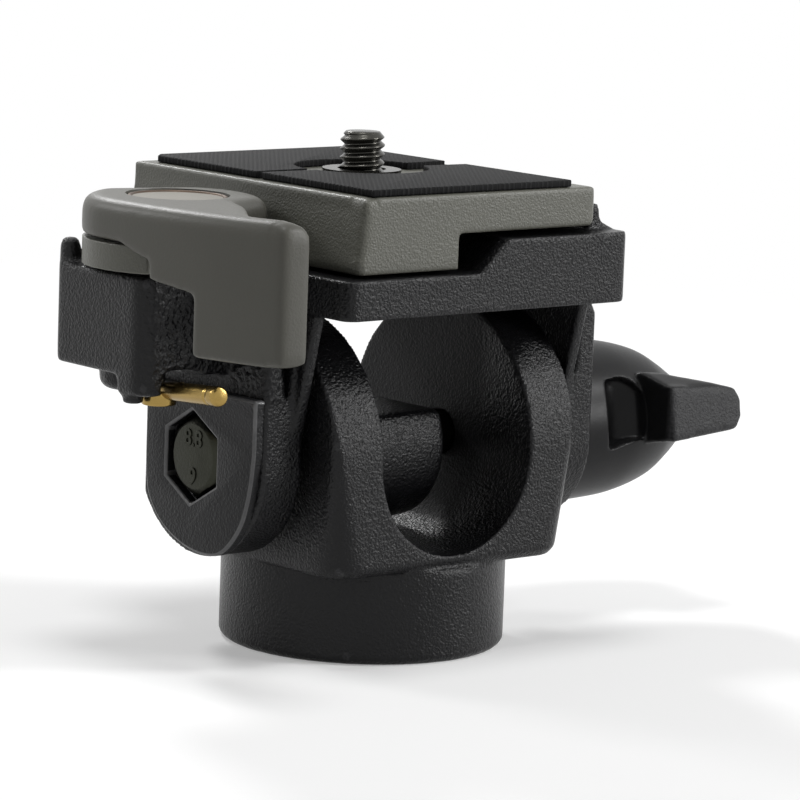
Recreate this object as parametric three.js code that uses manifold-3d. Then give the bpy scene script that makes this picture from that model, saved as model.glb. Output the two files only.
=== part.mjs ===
// Monopod head: a base yoke, a platform that tilts on one bolt, and a quick-release clamp.
// Millimetres. +Z is up, X is the tilt axis with the knob at +X, and -Y is the front.
// The origin is the centre of the foot's bottom face.
import * as THREE from 'three';
import { ConvexGeometry } from 'three/addons/geometries/ConvexGeometry.js';
import { mergeVertices } from 'three/addons/utils/BufferGeometryUtils.js';
import Module from 'manifold-3d';

// Clearances that all pieces share
const seatGap = 0.3;
const cutOverrun = 2;
const weldDistance = 0.00001;

// Foot, its threaded bush, and the yoke with its two round ears
const footRadius = 20.5;
const footHeight = 13.3;
const footEdge = 0.6;
const bushRadius = 7.5;
const bushBore = 4.6;
const bushLength = 10.5;
const pivotHeight = 28.7;
const yokeHalfWidth = 22;
const earRadius = 20.17;
const earGapHalf = 13.5;
const yokeCornerTop = 1.6;
const yokeCornerLow = 4.6;
const yokeNarrowing = 1;
const yokeEdge = 1.2;
const yokeEdgeShare = 0.7;
const bossRadius = 10.5;
const bossFlat = 7.5;
const bossReach = 19;

// Pivot bolt, friction washers, and the screw-on nut in the knob
const boltRadius = 3;
const boltHeadAcross = 10;
const boltHeadThick = 4;
const boltHeadSink = 0.4;
const boltHeadEdge = 0.9;
const hexRecessAcross = 11.4;
const frictionWasherThick = 0.9;
const frictionWasherRadius = 9.5;
const thrustWasherThick = 1;
const thrustWasherRadius = 8.5;
const nutBoreDepth = 6.6;
const nutWeb = 3.4;
const nutCoreInset = 0.1;
const nutFlangeThick = 1.5;
const nutFlangeRadius = 6.8;
const splineLength = 4.6;
const splineTip = 5.7;
const splineRoot = 5;
const knobScrewRadius = 2;
const knobScrewHeadRadius = 3.9;
const knobScrewHeadThick = 2.4;
const knobScrewSlot = 1;
const knobSpringWall = 1.2;
const knobSpringLength = 9.4;
const nutToothShare = 0.36;
const knobGrooveShare = 0.6;

// Knob: bell-shaped, with one wing to the front
const knobSkirtGap = 0.7;
const knobLength = 28.6;
const knobRadius = 12;
const knobWeb = 2.8;
const knobSkirtDepth = 5.6;
const knobSkirtWall = 2.4;
const knobProfileShares = [[0, 1], [0.25, 0.992], [0.45, 0.958], [0.66, 0.84], [0.8, 0.675], [0.93, 0.49],
  [1, 0.415]];
const wingLiftAngle = 9;
const wingReach = 16;
const wingStart = 14.3;
const wingRootShift = 1.3;
const wingEnd = 28.7;
const wingThickRoot = 8.4;
const wingThickTip = 6.6;
const wingTipEdge = 1.3;
const wingTipFlat = 3.3;
const wingWaist = 9.6;
const wingWaistEnd = 22.6;
const wingRootEnd = 23.5;
const wingHookReach = 14;
const wingHookSlope = 0.5;
const flareStart = 13;
const flareShoulder = 16.5;
const flareEnd = 26.5;
const flareStartRise = 6.4;
const flareShoulderRise = 6.1;
const flareFront = 15.6;
const flareFrontRise = 3.9;
const flareBack = 8.5;
const flareBackRise = 7.6;
const flareSide = 10;
const scoopStart = 2.3;
const scoopSide = 4.3;
const scoopMiddle = 8.7;
const scoopFloor = 6.4;
const scoopWide = 5.6;
const scoopWaist = 3.5;
const scoopRise = 0.1;
const scoopTopTurn = 9;
const scoopWaistStart = 11.5;
const scoopWaistEnd = 13;
const scoopLowTurn = 8.5;
const scoopLowStart = 4;

// Legs of the platform
const legThick = 6.8;
const legHalfWidth = 14.5;
const legBackShare = 0.869;
const legPadRise = 1.4;
const legRimFront = 2.1;
const legRimBack = 2;
const legRimRound = 1.3;
const legPadTop = 9.8;
const gussetThick = 1.8;
const gussetExtraWidth = 4.1;
const gussetStart = 4.3;
const pocketWidth = 2.2;
const pocketDepth = 2;
const pocketApex = 5.8;
const legSlopeStart = 3.4;

// Tray of the platform, with its low floor, raised rail and fixed lip
const trayFront = 26.2;
const trayBack = 27;
const trayLeft = 26;
const trayRight = 25.4;
const trayClearance = 1.53;
const trayThick = 5.5;
const railRise = 4.5;
const rampStart = 2.3;
const rampWidth = 4.75;
const trayCorner = 2;
const lipRise = 3.7;
const lipFront = 22.5;
const lipBack = 22;
const lipTopWidth = 2;
const lipHollowWidth = 2.6;
const lipHollowShare = 0.33;

// Lever housing beside the tray, with its column, boss and stop post
const housingLeft = 45.5;
const housingFront = 6.7;
const housingBack = 14.5;
const housingTopDrop = 0.7;
const housingHeight = 14;
const housingCorner = 2;
const housingBackCorner = 1.3;
const columnWidth = 3.6;
const columnDepth = 6.2;
const columnDrop = 2.5;
const nubRadius = 1.45;
const nubDrop = 1.3;
const springBossRadius = 4.6;
const springBossEdge = 1;
const springBossDrop = 3.2;
const springBossX = 38;
const springBossY = 5.6;
const stopPostRadius = 1.5;
const stopPostHeight = 3.3;
const stopRidgeHeight = 1.2;

// Clamp lever, cam, shaft, screw and cap
const leverX = 35.5;
const leverY = 0.35;
const leverRise = 9.6;
const hubThick = 5.6;
const hubLeftRadius = 13;
const hubBeakAngle = 318;
const hubChordStartAngle = 40;
const hubChordEndAngle = 112;
const armThick = 4;
const armBow = 96;
const armReach = 34.3;
const armWebReach = 23.5;
const notchShares = [1.24, 0.86, 0.9];
const notchAngles = [272, 285, 305];
const armDropStart = 11;
const armDrop = 4.6;
const paddleStart = 19.2;
const paddleDrop = 13.8;
const paddleCorner = 1.6;
const camThick = 3.8;
const camLeftRadius = 12.9;
const camOpenRadius = 9;
const camPressStartAngle = 310;
const camPressEndAngle = 375;
const camOpenAngle = 80;
const camLeftStartAngle = 130;
const camLeftEndAngle = 215;
const shaftRadius = 3;
const shaftSeat = 5;
const leverSpringRadius = 5.1;
const leverSpringWall = 1.2;
const leverSpringHeight = 4;
const hubFloor = 2;
const hubCavityRadius = 5;
const capRadius = 7;
const capThick = 0.7;
const capSink = 0.1;
const leverWasherThick = 0.6;
const leverWasherRadius = 4.5;
const leverScrewRadius = 1.5;
const leverScrewHeadRadius = 2.8;
const leverScrewHeadThick = 0.8;
const leverScrewLength = 8;

// Brass safety latch, its pin and its spring
const latchX = 39.3;
const latchY = 2.4;
const latchHubRadius = 2.4;
const latchHubThick = 1.7;
const latchHubDrop = 4.2;
const latchNeckRadius = 1.6;
const latchNeckHeight = 4.85;
const latchRodRadius = 1.35;
const latchRodLift = 2.1;
const latchRodLength = 15.5;
const latchRodAngle = 5;
const latchTiltAngle = 4.5;
const latchGroove = 1.6;
const latchGrooveDepth = 0.25;
const latchPinRadius = 0.8;
const latchPinLength = 7.6;
const latchSwingAngle = 25;
const latchSpringWall = 0.9;
const latchSpringHeight = 1.6;

// Release plunger in the tray's floor
const plungerX = 14;
const plungerY = 10;
const plungerRadius = 2;
const plungerFlangeRadius = 3.2;
const plungerFlangeThick = 0.6;
const plungerRoof = 0.8;
const plungerTravel = 2;
const plungerSpringWall = 1;
const retainerThick = 0.5;
const retainerRadius = 4.6;

// Quick-release plate, its pads, and the camera screw
const plateLeft = 22.29;
const plateRight = 19.75;
const plateFront = 24.66;
const plateBack = 27.7;
const plateRise = 10.94;
const plateSeatGap = 0.5;
const plateFlangeThick = 5.56;
const plateStep = 5.35;
const plateRimHeight = 1.8;
const plateLeftExtraWidth = 1.09;
const plateRightExtraWidth = 0.45;
const plateLowCorner = 1;
const plateCorner = 1.6;
const padBond = 0.05;
const padThick = 1;
const padLeft = 20.5;
const padRight = 15.6;
const padFront = 24;
const padBack = 25.9;
const padCornerCut = 1.4;
const padSlit = 1;
const padSlitPlace = 1;
const padSlitSpread = 1.8;
const padWindow = 9.6;
const screwX = 1.47;
const screwY = 1.62;
const screwRadius = 3.175;
const screwReach = 6.04;
const screwChamfer = 0.6;
const screwHeadRadius = 6.4;
const screwHeadThick = 1.7;
const screwSlot = 1.2;
const plateWeb = 1.9;
const clipRadius = 5.65;
const clipThick = 0.7;
const plateHollowLeft = 19.6;
const plateHollowBack = 20;
const plateHollowRoof = 4;

// Counts of flat sides on round forms
const fineSides = 48;
const midSides = 28;
const smallSides = 16;
const coarseSides = 8;
const splineTeeth = 10;
const hexCorners = 6;
const cornersPerFace = 3;
const numbersPerCorner = 3;

// Angles of a whole, half and quarter turn, in degrees
const wholeTurnAngle = 360;
const halfTurnAngle = 180;
const quarterTurnAngle = 90;

// Places worked out from the sizes above
const legBackHalf = legHalfWidth * legBackShare;
const legPadFront = legHalfWidth - legRimFront;
const legPadBack = legBackHalf - legRimBack;
const legPadArc = legHalfWidth - legRimRound;
const legInner = yokeHalfWidth + seatGap + frictionWasherThick + seatGap;
const legOuter = legInner + legThick;
const padFace = legOuter + legPadRise;
const boltFace = padFace - boltHeadSink;
const boltSeat = boltFace - boltHeadThick;
const washerStart = legOuter + seatGap;
const nutStart = washerStart + thrustWasherThick + seatGap;
const nutEnd = nutStart + nutBoreDepth + nutWeb;
const knobStart = legOuter + knobSkirtGap;
const knobEnd = knobStart + knobLength;
const knobWebEnd = nutEnd + seatGap + knobWeb;
const springStart = knobWebEnd + seatGap;
const springEnd = springStart + knobSpringLength;
const screwHeadStart = springEnd + seatGap;
const trayBottom = pivotHeight + earRadius + trayClearance;
const floorTop = trayBottom + trayThick;
const railTop = floorTop + railRise;
const plateLow = floorTop + plateSeatGap;
const plateTop = floorTop + plateRise;
const screwTip = plateTop + screwReach;
const leverTop = floorTop + leverRise;
const flangeLow = plateTop - plateFlangeThick;
const housingTop = floorTop - housingTopDrop;
const housingBottom = housingTop - housingHeight;
const latchHubBottom = housingBottom - latchHubDrop;
const latchRodHeight = latchHubBottom + latchRodLift;
const latchNeckTop = latchHubBottom + latchNeckHeight;
const hubBottom = leverTop - hubThick;
const camTop = hubBottom - seatGap;
const camBottom = camTop - camThick;
const camWell = camBottom - seatGap;
const shaftLow = camWell - leverSpringHeight - shaftSeat;
const spacing = (share, from, to) => from + (to - from) * share;
const plateFlank = (z) => {
  const share = (plateTop - plateRimHeight - z) / (plateTop - plateRimHeight - plateLow);
  return plateLeft + plateLeftExtraWidth * Math.max(0, Math.min(1, share));
};
const rightFlank = (z) => plateRight + (plateRightExtraWidth * (plateTop - z)) / plateFlangeThick;
const hubRightRadius = leverX - plateFlank(hubBottom) - seatGap;
const camPressRadius = leverX - plateFlank(camBottom) - seatGap;
const padTop = plateTop + padBond + padThick;
const screwHeadTop = plateTop - plateWeb - seatGap;
const screwHeadBottom = screwHeadTop - screwHeadThick;
const pivotPlace = [0, 0, pivotHeight];
const leverPlace = [-leverX, -leverY, 0];
const latchPlace = [-latchX, -latchY, 0];
const plungerPlace = [-plungerX, plungerY, 0];
const screwPlace = [-screwX, screwY, 0];

// Solids: closed geometry in, closed geometry out
const wasm = await Module();
wasm.setup();

function toSolid(geometry) {
  const bare = geometry.index ? geometry.toNonIndexed() : geometry.clone();
  bare.deleteAttribute('normal');
  bare.deleteAttribute('uv');
  const merged = mergeVertices(bare, weldDistance);
  const vertProperties = Float32Array.from(merged.attributes.position.array);
  const triVerts = Uint32Array.from(merged.index.array);
  return new wasm.Manifold(new wasm.Mesh({ numProp: numbersPerCorner, vertProperties, triVerts }));
}

function toGeometry(solid) {
  const mesh = solid.getMesh();
  const geometry = new THREE.BufferGeometry();
  geometry.setAttribute('position', new THREE.BufferAttribute(mesh.vertProperties, numbersPerCorner));
  geometry.setIndex(new THREE.BufferAttribute(mesh.triVerts, 1));
  geometry.computeVertexNormals();
  return geometry;
}

const join = (first, ...rest) => rest.reduce((sum, solid) => sum.add(solid), first);
const cut = (first, ...rest) => rest.reduce((sum, solid) => sum.subtract(solid), first);

// Turns that lay a local Z direction along a world axis
// x: the outline lies in YZ. y: the outline lies in XZ. z: the outline lies in XY.
const layAlong = {
  x: (from) => new THREE.Matrix4().set(0, 0, 1, from, 1, 0, 0, 0, 0, 1, 0, 0, 0, 0, 0, 1),
  y: (from, to) => new THREE.Matrix4().set(1, 0, 0, 0, 0, 0, -1, to, 0, 1, 0, 0, 0, 0, 0, 1),
  z: (from) => new THREE.Matrix4().makeTranslation(0, 0, from),
};

function prism(outline, axis, from, to, curveSegments = smallSides) {
  const options = { depth: to - from, bevelEnabled: false, curveSegments };
  const geometry = new THREE.ExtrudeGeometry(outline, options);
  return toSolid(geometry.applyMatrix4(layAlong[axis](from, to)));
}

function box(x0, x1, y0, y1, z0, z1) {
  const geometry = new THREE.BoxGeometry(x1 - x0, y1 - y0, z1 - z0);
  return toSolid(geometry.translate((x0 + x1) / 2, (y0 + y1) / 2, (z0 + z1) / 2));
}

// A turned solid from [radius, height] points, which start and end on the axis or close
function turned(profile, axis, place, sides = midSides) {
  const points = profile.map(([radius, height]) => new THREE.Vector2(radius, height));
  const geometry = new THREE.LatheGeometry(points, sides);
  if (axis === 'x') {
    geometry.rotateZ(-Math.PI / 2);
  } else {
    geometry.rotateX(Math.PI / 2);
  }
  geometry.translate(place[0], place[1], place[2]);
  const solid = toSolid(geometry);
  return solid.volume() < 0 ? toSolid(flipped(geometry)) : solid;
}

function flipped(geometry) {
  const bare = geometry.toNonIndexed();
  const position = bare.attributes.position.array;
  const faceStride = cornersPerFace * numbersPerCorner;
  for (let start = 0; start < position.length; start += faceStride) {
    for (let part = 0; part < numbersPerCorner; part += 1) {
      const second = start + numbersPerCorner + part;
      const third = second + numbersPerCorner;
      const kept = position[second];
      position[second] = position[third];
      position[third] = kept;
    }
  }
  return bare;
}

const rod = (radius, from, to, axis, place, sides) =>
  turned([[0, from], [radius, from], [radius, to], [0, to]], axis, place, sides);

const tube = (outer, inner, from, to, axis, place, sides) =>
  turned([[inner, from], [outer, from], [outer, to], [inner, to], [inner, from]], axis, place, sides);

// Outlines
function roundedRectangle(x0, x1, y0, y1, radius) {
  const outline = new THREE.Shape();
  outline.moveTo(x0 + radius, y0);
  outline.lineTo(x1 - radius, y0);
  outline.absarc(x1 - radius, y0 + radius, radius, -Math.PI / 2, 0);
  outline.lineTo(x1, y1 - radius);
  outline.absarc(x1 - radius, y1 - radius, radius, 0, Math.PI / 2);
  outline.lineTo(x0 + radius, y1);
  outline.absarc(x0 + radius, y1 - radius, radius, Math.PI / 2, Math.PI);
  outline.lineTo(x0, y0 + radius);
  outline.absarc(x0 + radius, y0 + radius, radius, Math.PI, -Math.PI / 2 + 2 * Math.PI);
  return outline;
}

function polygon(points) {
  return new THREE.Shape(points.map(([x, y]) => new THREE.Vector2(x, y)));
}

function hexagon(across, centreX, centreY) {
  const corner = across / Math.sqrt(3);
  const points = Array.from({ length: hexCorners }, (_, index) => {
    const angle = Math.PI / 2 + (index * 2 * Math.PI) / hexCorners;
    return [centreX + corner * Math.cos(angle), centreY + corner * Math.sin(angle)];
  });
  return polygon(points);
}

const polar = (radius, degrees) => [
  -leverX + radius * Math.cos(THREE.MathUtils.degToRad(degrees)),
  -leverY + radius * Math.sin(THREE.MathUtils.degToRad(degrees)),
];

function arcPoints(radius, from, to, steps) {
  return Array.from({ length: steps + 1 }, (_, index) => polar(radius, spacing(index / steps, from, to)));
}

// Materials
const finish = (color, roughness, metalness) =>
  new THREE.MeshStandardMaterial({ color, roughness, metalness });
const castingPaint = finish(0x1f2022, 0.5, 0.1);
const leverPaint = finish(0x5b5b54, 0.5, 0.15);
const platePaint = finish(0x55554b, 0.5, 0.15);
const blackOxide = finish(0x24261f, 0.4, 0.8);
const springSteel = finish(0x8b8d90, 0.35, 0.9);
const brass = finish(0xc9a24e, 0.3, 0.9);
const rubber = finish(0x2b2b2d, 0.9, 0);
const knobPlastic = finish(0x1c1c1d, 0.55, 0);
const washerPlastic = finish(0xd8d5cc, 0.6, 0);
const capMetal = finish(0x8f8a80, 0.4, 0.4);

const group = new THREE.Group();

function add(name, solid, material) {
  const mesh = new THREE.Mesh(toGeometry(solid), material);
  mesh.name = name;
  group.add(mesh);
  return solid;
}

// Base: the foot is round, and the yoke above it narrows downward with growing corners
function ringOfPoints(halfX, halfY, radius, z) {
  const corners = roundedRectangle(-halfX, halfX, -halfY, halfY, radius).getPoints(coarseSides / 2);
  return corners.map((point) => new THREE.Vector3(point.x, point.y, z));
}

function makeBaseYoke() {
  const lowX = yokeHalfWidth - yokeNarrowing;
  const lowY = earRadius - yokeNarrowing;
  const edgeX = yokeHalfWidth - yokeNarrowing * yokeEdgeShare;
  const rings = [
    ...ringOfPoints(lowX, lowY, yokeCornerLow, footHeight),
    ...ringOfPoints(edgeX, earRadius, yokeCornerLow, footHeight + yokeEdge),
    ...ringOfPoints(yokeHalfWidth, earRadius, yokeCornerTop, pivotHeight),
    ...ringOfPoints(yokeHalfWidth, earRadius, yokeCornerTop, pivotHeight + earRadius),
  ];
  const block = toSolid(new ConvexGeometry(rings));
  const side = new THREE.Shape();
  side.moveTo(-earRadius, footHeight);
  side.lineTo(earRadius, footHeight);
  side.lineTo(earRadius, pivotHeight);
  side.absarc(0, pivotHeight, earRadius, 0, Math.PI);
  const ears = block.intersect(prism(side, 'x', -yokeHalfWidth, yokeHalfWidth, midSides));
  const opening = new THREE.Shape();
  opening.moveTo(earGapHalf, pivotHeight);
  opening.lineTo(earGapHalf, pivotHeight + earRadius + cutOverrun);
  opening.lineTo(-earGapHalf, pivotHeight + earRadius + cutOverrun);
  opening.lineTo(-earGapHalf, pivotHeight);
  opening.absarc(0, pivotHeight, earGapHalf, Math.PI, 2 * Math.PI);
  const opened = cut(ears, prism(opening, 'y', -earRadius - cutOverrun, earRadius + cutOverrun, midSides));
  const flat = Math.asin(bossFlat / bossRadius);
  const bossOutline = new THREE.Shape();
  bossOutline.absarc(0, pivotHeight, bossRadius, Math.PI - flat, 2 * Math.PI + flat);
  const boss = prism(bossOutline, 'x', -earGapHalf - seatGap, bossReach - earGapHalf, midSides);
  const foot = turned(
    [[0, 0], [footRadius - footEdge, 0], [footRadius, footEdge], [footRadius, footHeight], [0, footHeight]],
    'z', [0, 0, 0], fineSides);
  const boltHole = rod(boltRadius + seatGap, -yokeHalfWidth - cutOverrun, yokeHalfWidth + cutOverrun, 'x',
    pivotPlace, smallSides);
  const bushHole = rod(bushRadius + seatGap, -cutOverrun, bushLength + seatGap, 'z', [0, 0, 0], midSides);
  return cut(join(opened, boss, foot), boltHole, bushHole);
}

add('base_yoke', makeBaseYoke(), castingPaint);
add('thread_bush', tube(bushRadius, bushBore, 0, bushLength, 'z', [0, 0, 0], midSides), springSteel);

// Legs: one slab each side with a round end, an inner web that flares, and a narrow pocket
function makeLeg(side) {
  const top = trayBottom + trayThick / 2;
  const slab = new THREE.Shape();
  const backTurn = Math.acos(legBackHalf / legHalfWidth);
  slab.moveTo(legBackHalf, top);
  slab.lineTo(-legHalfWidth, top);
  slab.lineTo(-legHalfWidth, pivotHeight);
  slab.absarc(0, pivotHeight, legHalfWidth, Math.PI, 2 * Math.PI - backTurn);
  const flare = legHalfWidth + gussetExtraWidth;
  const start = pivotHeight + gussetStart;
  const web = polygon([[-legHalfWidth, start], [legBackHalf, start], [flare, trayBottom], [flare, top],
    [-flare, top], [-flare, trayBottom]]);
  const across = (outline, near, far) => {
    const ends = side > 0 ? [near, far] : [-far, -near];
    return prism(outline, 'x', ...ends);
  };
  const apex = pivotHeight + pocketApex;
  const pocketNear = legInner + gussetThick;
  const pocketFar = pocketNear + pocketWidth;
  const middle = (pocketNear + pocketFar) / 2;
  const pocket = polygon([
    [side * middle, apex], [side * pocketFar, trayBottom], [side * pocketNear, trayBottom]]);
  const frontPocket = prism(pocket, 'y', -legHalfWidth - cutOverrun, -legHalfWidth + pocketDepth);
  const backPocket = prism(pocket, 'y', legBackHalf - pocketDepth, legBackHalf + gussetExtraWidth);
  const pocketed = cut(across(slab, legInner, legOuter), frontPocket, backPocket);
  return join(pocketed, across(web, legInner, pocketNear));
}

function makeTray() {
  const profile = polygon([
    [-trayLeft, trayBottom], [trayRight, trayBottom], [trayRight, railTop], [-rampStart + rampWidth, railTop],
    [-rampStart, floorTop], [-trayLeft, floorTop]]);
  const plan = roundedRectangle(-trayLeft, trayRight, -trayFront, trayBack, trayCorner);
  const tray = prism(profile, 'y', -trayFront, trayBack).intersect(prism(plan, 'z', trayBottom, railTop));
  const lipTop = railTop + lipRise;
  const lipInner = (z) => rightFlank(z) + seatGap;
  const lip = polygon([
    [lipInner(railTop), railTop - seatGap], [trayRight, railTop - seatGap], [trayRight, railTop],
    [lipInner(lipTop) + lipHollowWidth, spacing(lipHollowShare, railTop, lipTop)],
    [lipInner(lipTop) + lipTopWidth, lipTop], [lipInner(lipTop), lipTop]]);
  return join(tray, prism(lip, 'y', -lipFront, lipBack));
}

// Housing: holds the lever's shaft, and the latch under its front
function makeHousing() {
  const chamfered = polygon([
    [-housingLeft, -housingFront + housingCorner], [-housingLeft + housingCorner, -housingFront],
    [-trayLeft + cutOverrun, -housingFront], [-trayLeft + cutOverrun, housingBack],
    [-housingLeft + housingBackCorner, housingBack], [-housingLeft, housingBack - housingBackCorner]]);
  const block = prism(chamfered, 'z', housingBottom, housingTop);
  const columnPlan = polygon([
    [-housingLeft, -housingFront + housingCorner], [-housingLeft + housingCorner, -housingFront],
    [-housingLeft + columnWidth, -housingFront], [-housingLeft + columnWidth, -housingFront + columnDepth],
    [-housingLeft, -housingFront + columnDepth]]);
  const column = prism(columnPlan, 'z', housingBottom - columnDrop, housingTop);
  const nubPlace = [-housingLeft + columnWidth - nubRadius, -housingFront + columnDepth - nubRadius, 0];
  const columnBottom = housingBottom - columnDrop;
  const nub = rod(nubRadius, columnBottom - nubDrop, housingBottom, 'z', nubPlace, smallSides);
  const boss = turned([
    [0, housingBottom - springBossDrop], [springBossRadius - springBossEdge, housingBottom - springBossDrop],
    [springBossRadius, housingBottom - springBossDrop + springBossEdge],
    [springBossRadius, housingBottom + cutOverrun], [0, housingBottom + cutOverrun]],
  'z', [-springBossX, springBossY, 0], midSides);
  const postX = -housingLeft + stopPostRadius + seatGap;
  const postY = housingBack - stopPostRadius;
  const postTop = housingTop + stopPostHeight;
  const post = turned([
    [0, housingBottom + cutOverrun], [stopPostRadius, housingBottom + cutOverrun],
    [stopPostRadius, postTop - stopPostRadius / 2], [stopPostRadius / 2, postTop], [0, postTop]],
  'z', [postX, postY, 0], smallSides);
  const ridge = box(postX, -trayLeft + cutOverrun, housingBack - 2 * stopPostRadius, housingBack,
    housingTop - cutOverrun, housingTop + stopRidgeHeight);
  return join(block, column, nub, boss, post, ridge);
}

function makePlatform() {
  const body = join(makeTray(), makeLeg(-1), makeLeg(1), makeHousing());
  const padOutline = new THREE.Shape();
  padOutline.moveTo(legPadBack, pivotHeight + legPadTop);
  padOutline.lineTo(-legPadFront, pivotHeight + legPadTop);
  const frontTurn = Math.acos(legPadFront / legPadArc);
  const rearTurn = Math.acos(legPadBack / legPadArc);
  padOutline.absarc(0, pivotHeight, legPadArc, Math.PI + frontTurn, 2 * Math.PI - rearTurn);
  const pad = prism(padOutline, 'x', -padFace, -legInner);
  const boltHole = rod(boltRadius + seatGap, -padFace - cutOverrun, legOuter + cutOverrun, 'x', pivotPlace,
    smallSides);
  const recess = hexagon(hexRecessAcross, 0, pivotHeight);
  const hexHole = prism(recess, 'x', -padFace - cutOverrun, -boltSeat + seatGap);
  const slopeTop = trayBottom + trayThick;
  const slope = polygon([
    [legOuter + cutOverrun, trayBottom - legSlopeStart - cutOverrun],
    [legOuter + cutOverrun, slopeTop + cutOverrun],
    [trayRight, slopeTop + cutOverrun], [trayRight, slopeTop], [legOuter, trayBottom - legSlopeStart]]);
  const slopeReach = legHalfWidth + gussetExtraWidth + cutOverrun;
  const shoulder = prism(slope, 'y', -slopeReach, slopeReach);
  const well = rod(camLeftRadius + seatGap, camWell, leverTop, 'z', leverPlace, fineSides);
  const springWellLow = shaftLow + shaftSeat - seatGap;
  const shaftHole = rod(shaftRadius + seatGap, shaftLow - seatGap, leverTop, 'z', leverPlace, smallSides);
  const springWell = rod(leverSpringRadius + seatGap, springWellLow, leverTop, 'z', leverPlace, midSides);
  const latchRoof = latchNeckTop + seatGap;
  const sweep = latchSwingAngle + latchRodAngle;
  const sweepStart = THREE.MathUtils.degToRad(-quarterTurnAngle - sweep / 2);
  const sweepEnd = THREE.MathUtils.degToRad(-quarterTurnAngle + sweep);
  const room = latchRodRadius + seatGap;
  const reach = latchRodLength;
  const swept = polygon([
    [-latchX - room, -latchY],
    [-latchX - room + (reach / 2) * Math.cos(sweepStart), -latchY + reach * Math.sin(sweepStart)],
    [-latchX + room + reach * Math.cos(sweepEnd), -latchY + reach * Math.sin(sweepEnd)],
    [-latchX + room, -latchY]]);
  const sweepRoom = prism(swept, 'z', latchHubBottom - cutOverrun, latchRoof);
  const hubRoom = rod(latchHubRadius + seatGap, latchHubBottom - cutOverrun, latchRoof, 'z', latchPlace,
    smallSides);
  const latchSpringRoom = rod(latchHubRadius, latchRoof - seatGap,
    latchRoof + latchSpringHeight + seatGap, 'z', latchPlace, smallSides);
  const pinHole = rod(latchPinRadius + seatGap, latchHubBottom, latchHubBottom + latchPinLength + seatGap, 'z',
    latchPlace, smallSides);
  const plungerHole = rod(plungerRadius + seatGap, trayBottom - cutOverrun, railTop, 'z', plungerPlace,
    smallSides);
  const flangeHole = rod(plungerFlangeRadius + seatGap, trayBottom - cutOverrun, floorTop - plungerRoof, 'z',
    plungerPlace, smallSides);
  const retainerRoom = rod(retainerRadius + seatGap, trayBottom - cutOverrun,
    trayBottom + retainerThick + seatGap, 'z', plungerPlace, smallSides);
  return cut(join(body, pad), boltHole, hexHole, shoulder, well, shaftHole, springWell, sweepRoom, hubRoom,
    latchSpringRoom, pinHole, plungerHole, flangeHole, retainerRoom);
}

add('platform', makePlatform(), castingPaint);

// Pivot bolt through both legs and both ears, with its washers
function makePivotBolt() {
  const corner = boltHeadAcross / Math.sqrt(3);
  const head = prism(hexagon(boltHeadAcross, 0, pivotHeight), 'x', -boltFace, -boltSeat);
  const crown = turned([
    [0, -boltSeat], [corner, -boltSeat], [corner, -boltFace + boltHeadEdge],
    [boltHeadAcross / 2 - boltHeadEdge / 2, -boltFace], [0, -boltFace]], 'x', pivotPlace, midSides);
  const shankEnd = nutStart + nutBoreDepth - seatGap;
  const shank = rod(boltRadius, -boltSeat - seatGap, shankEnd, 'x', pivotPlace, smallSides);
  return join(head.intersect(crown), shank);
}

add('pivot_bolt', makePivotBolt(), blackOxide);
const frictionWasher = (from) =>
  tube(frictionWasherRadius, boltRadius + seatGap, from, from + frictionWasherThick, 'x', pivotPlace, midSides);
add('left_friction_washer', frictionWasher(-yokeHalfWidth - seatGap - frictionWasherThick), washerPlastic);
add('right_friction_washer', frictionWasher(yokeHalfWidth + seatGap), washerPlastic);
const thrustWasherEnd = washerStart + thrustWasherThick;
add('thrust_washer', tube(thrustWasherRadius, boltRadius + seatGap, washerStart, thrustWasherEnd, 'x',
  pivotPlace, midSides), springSteel);

// Splined nut: the knob's inner teeth sit between its outer teeth
function splineOutline(tip, root, toothShare) {
  const pitch = wholeTurnAngle / splineTeeth;
  const points = [];
  for (let tooth = 0; tooth < splineTeeth; tooth += 1) {
    const half = (pitch * toothShare) / 2;
    const centre = tooth * pitch;
    const corners = [
      [root, centre - pitch / 2], [root, centre - half], [tip, centre - half], [tip, centre + half],
      [root, centre + half]];
    corners.forEach(([radius, degrees]) => {
      const angle = THREE.MathUtils.degToRad(degrees);
      points.push([radius * Math.cos(angle), pivotHeight + radius * Math.sin(angle)]);
    });
  }
  return polygon(points);
}

function makeKnobNut() {
  const body = join(
    prism(splineOutline(splineTip, splineRoot, nutToothShare), 'x', nutEnd - splineLength, nutEnd),
    rod(splineRoot - nutCoreInset, nutStart, nutEnd, 'x', pivotPlace, midSides),
    rod(nutFlangeRadius, nutStart, nutStart + nutFlangeThick, 'x', pivotPlace, midSides));
  const threadBore = rod(boltRadius + seatGap, nutStart - cutOverrun, nutStart + nutBoreDepth, 'x', pivotPlace,
    smallSides);
  const screwBore = rod(knobScrewRadius + seatGap, nutStart, nutEnd + cutOverrun, 'x', pivotPlace, smallSides);
  return cut(body, threadBore, screwBore);
}

add('knob_nut', makeKnobNut(), springSteel);

function makeKnobScrew() {
  const shankStart = nutStart + nutBoreDepth + seatGap;
  const shank = rod(knobScrewRadius, shankStart, screwHeadStart + seatGap, 'x', pivotPlace, smallSides);
  const headEnd = screwHeadStart + knobScrewHeadThick;
  const head = rod(knobScrewHeadRadius, screwHeadStart, headEnd, 'x', pivotPlace, midSides);
  const slot = box(headEnd - knobScrewHeadThick / 2, headEnd + cutOverrun, -knobScrewHeadRadius - cutOverrun,
    knobScrewHeadRadius + cutOverrun, pivotHeight - knobScrewSlot / 2, pivotHeight + knobScrewSlot / 2);
  return cut(join(shank, head), slot);
}

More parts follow.
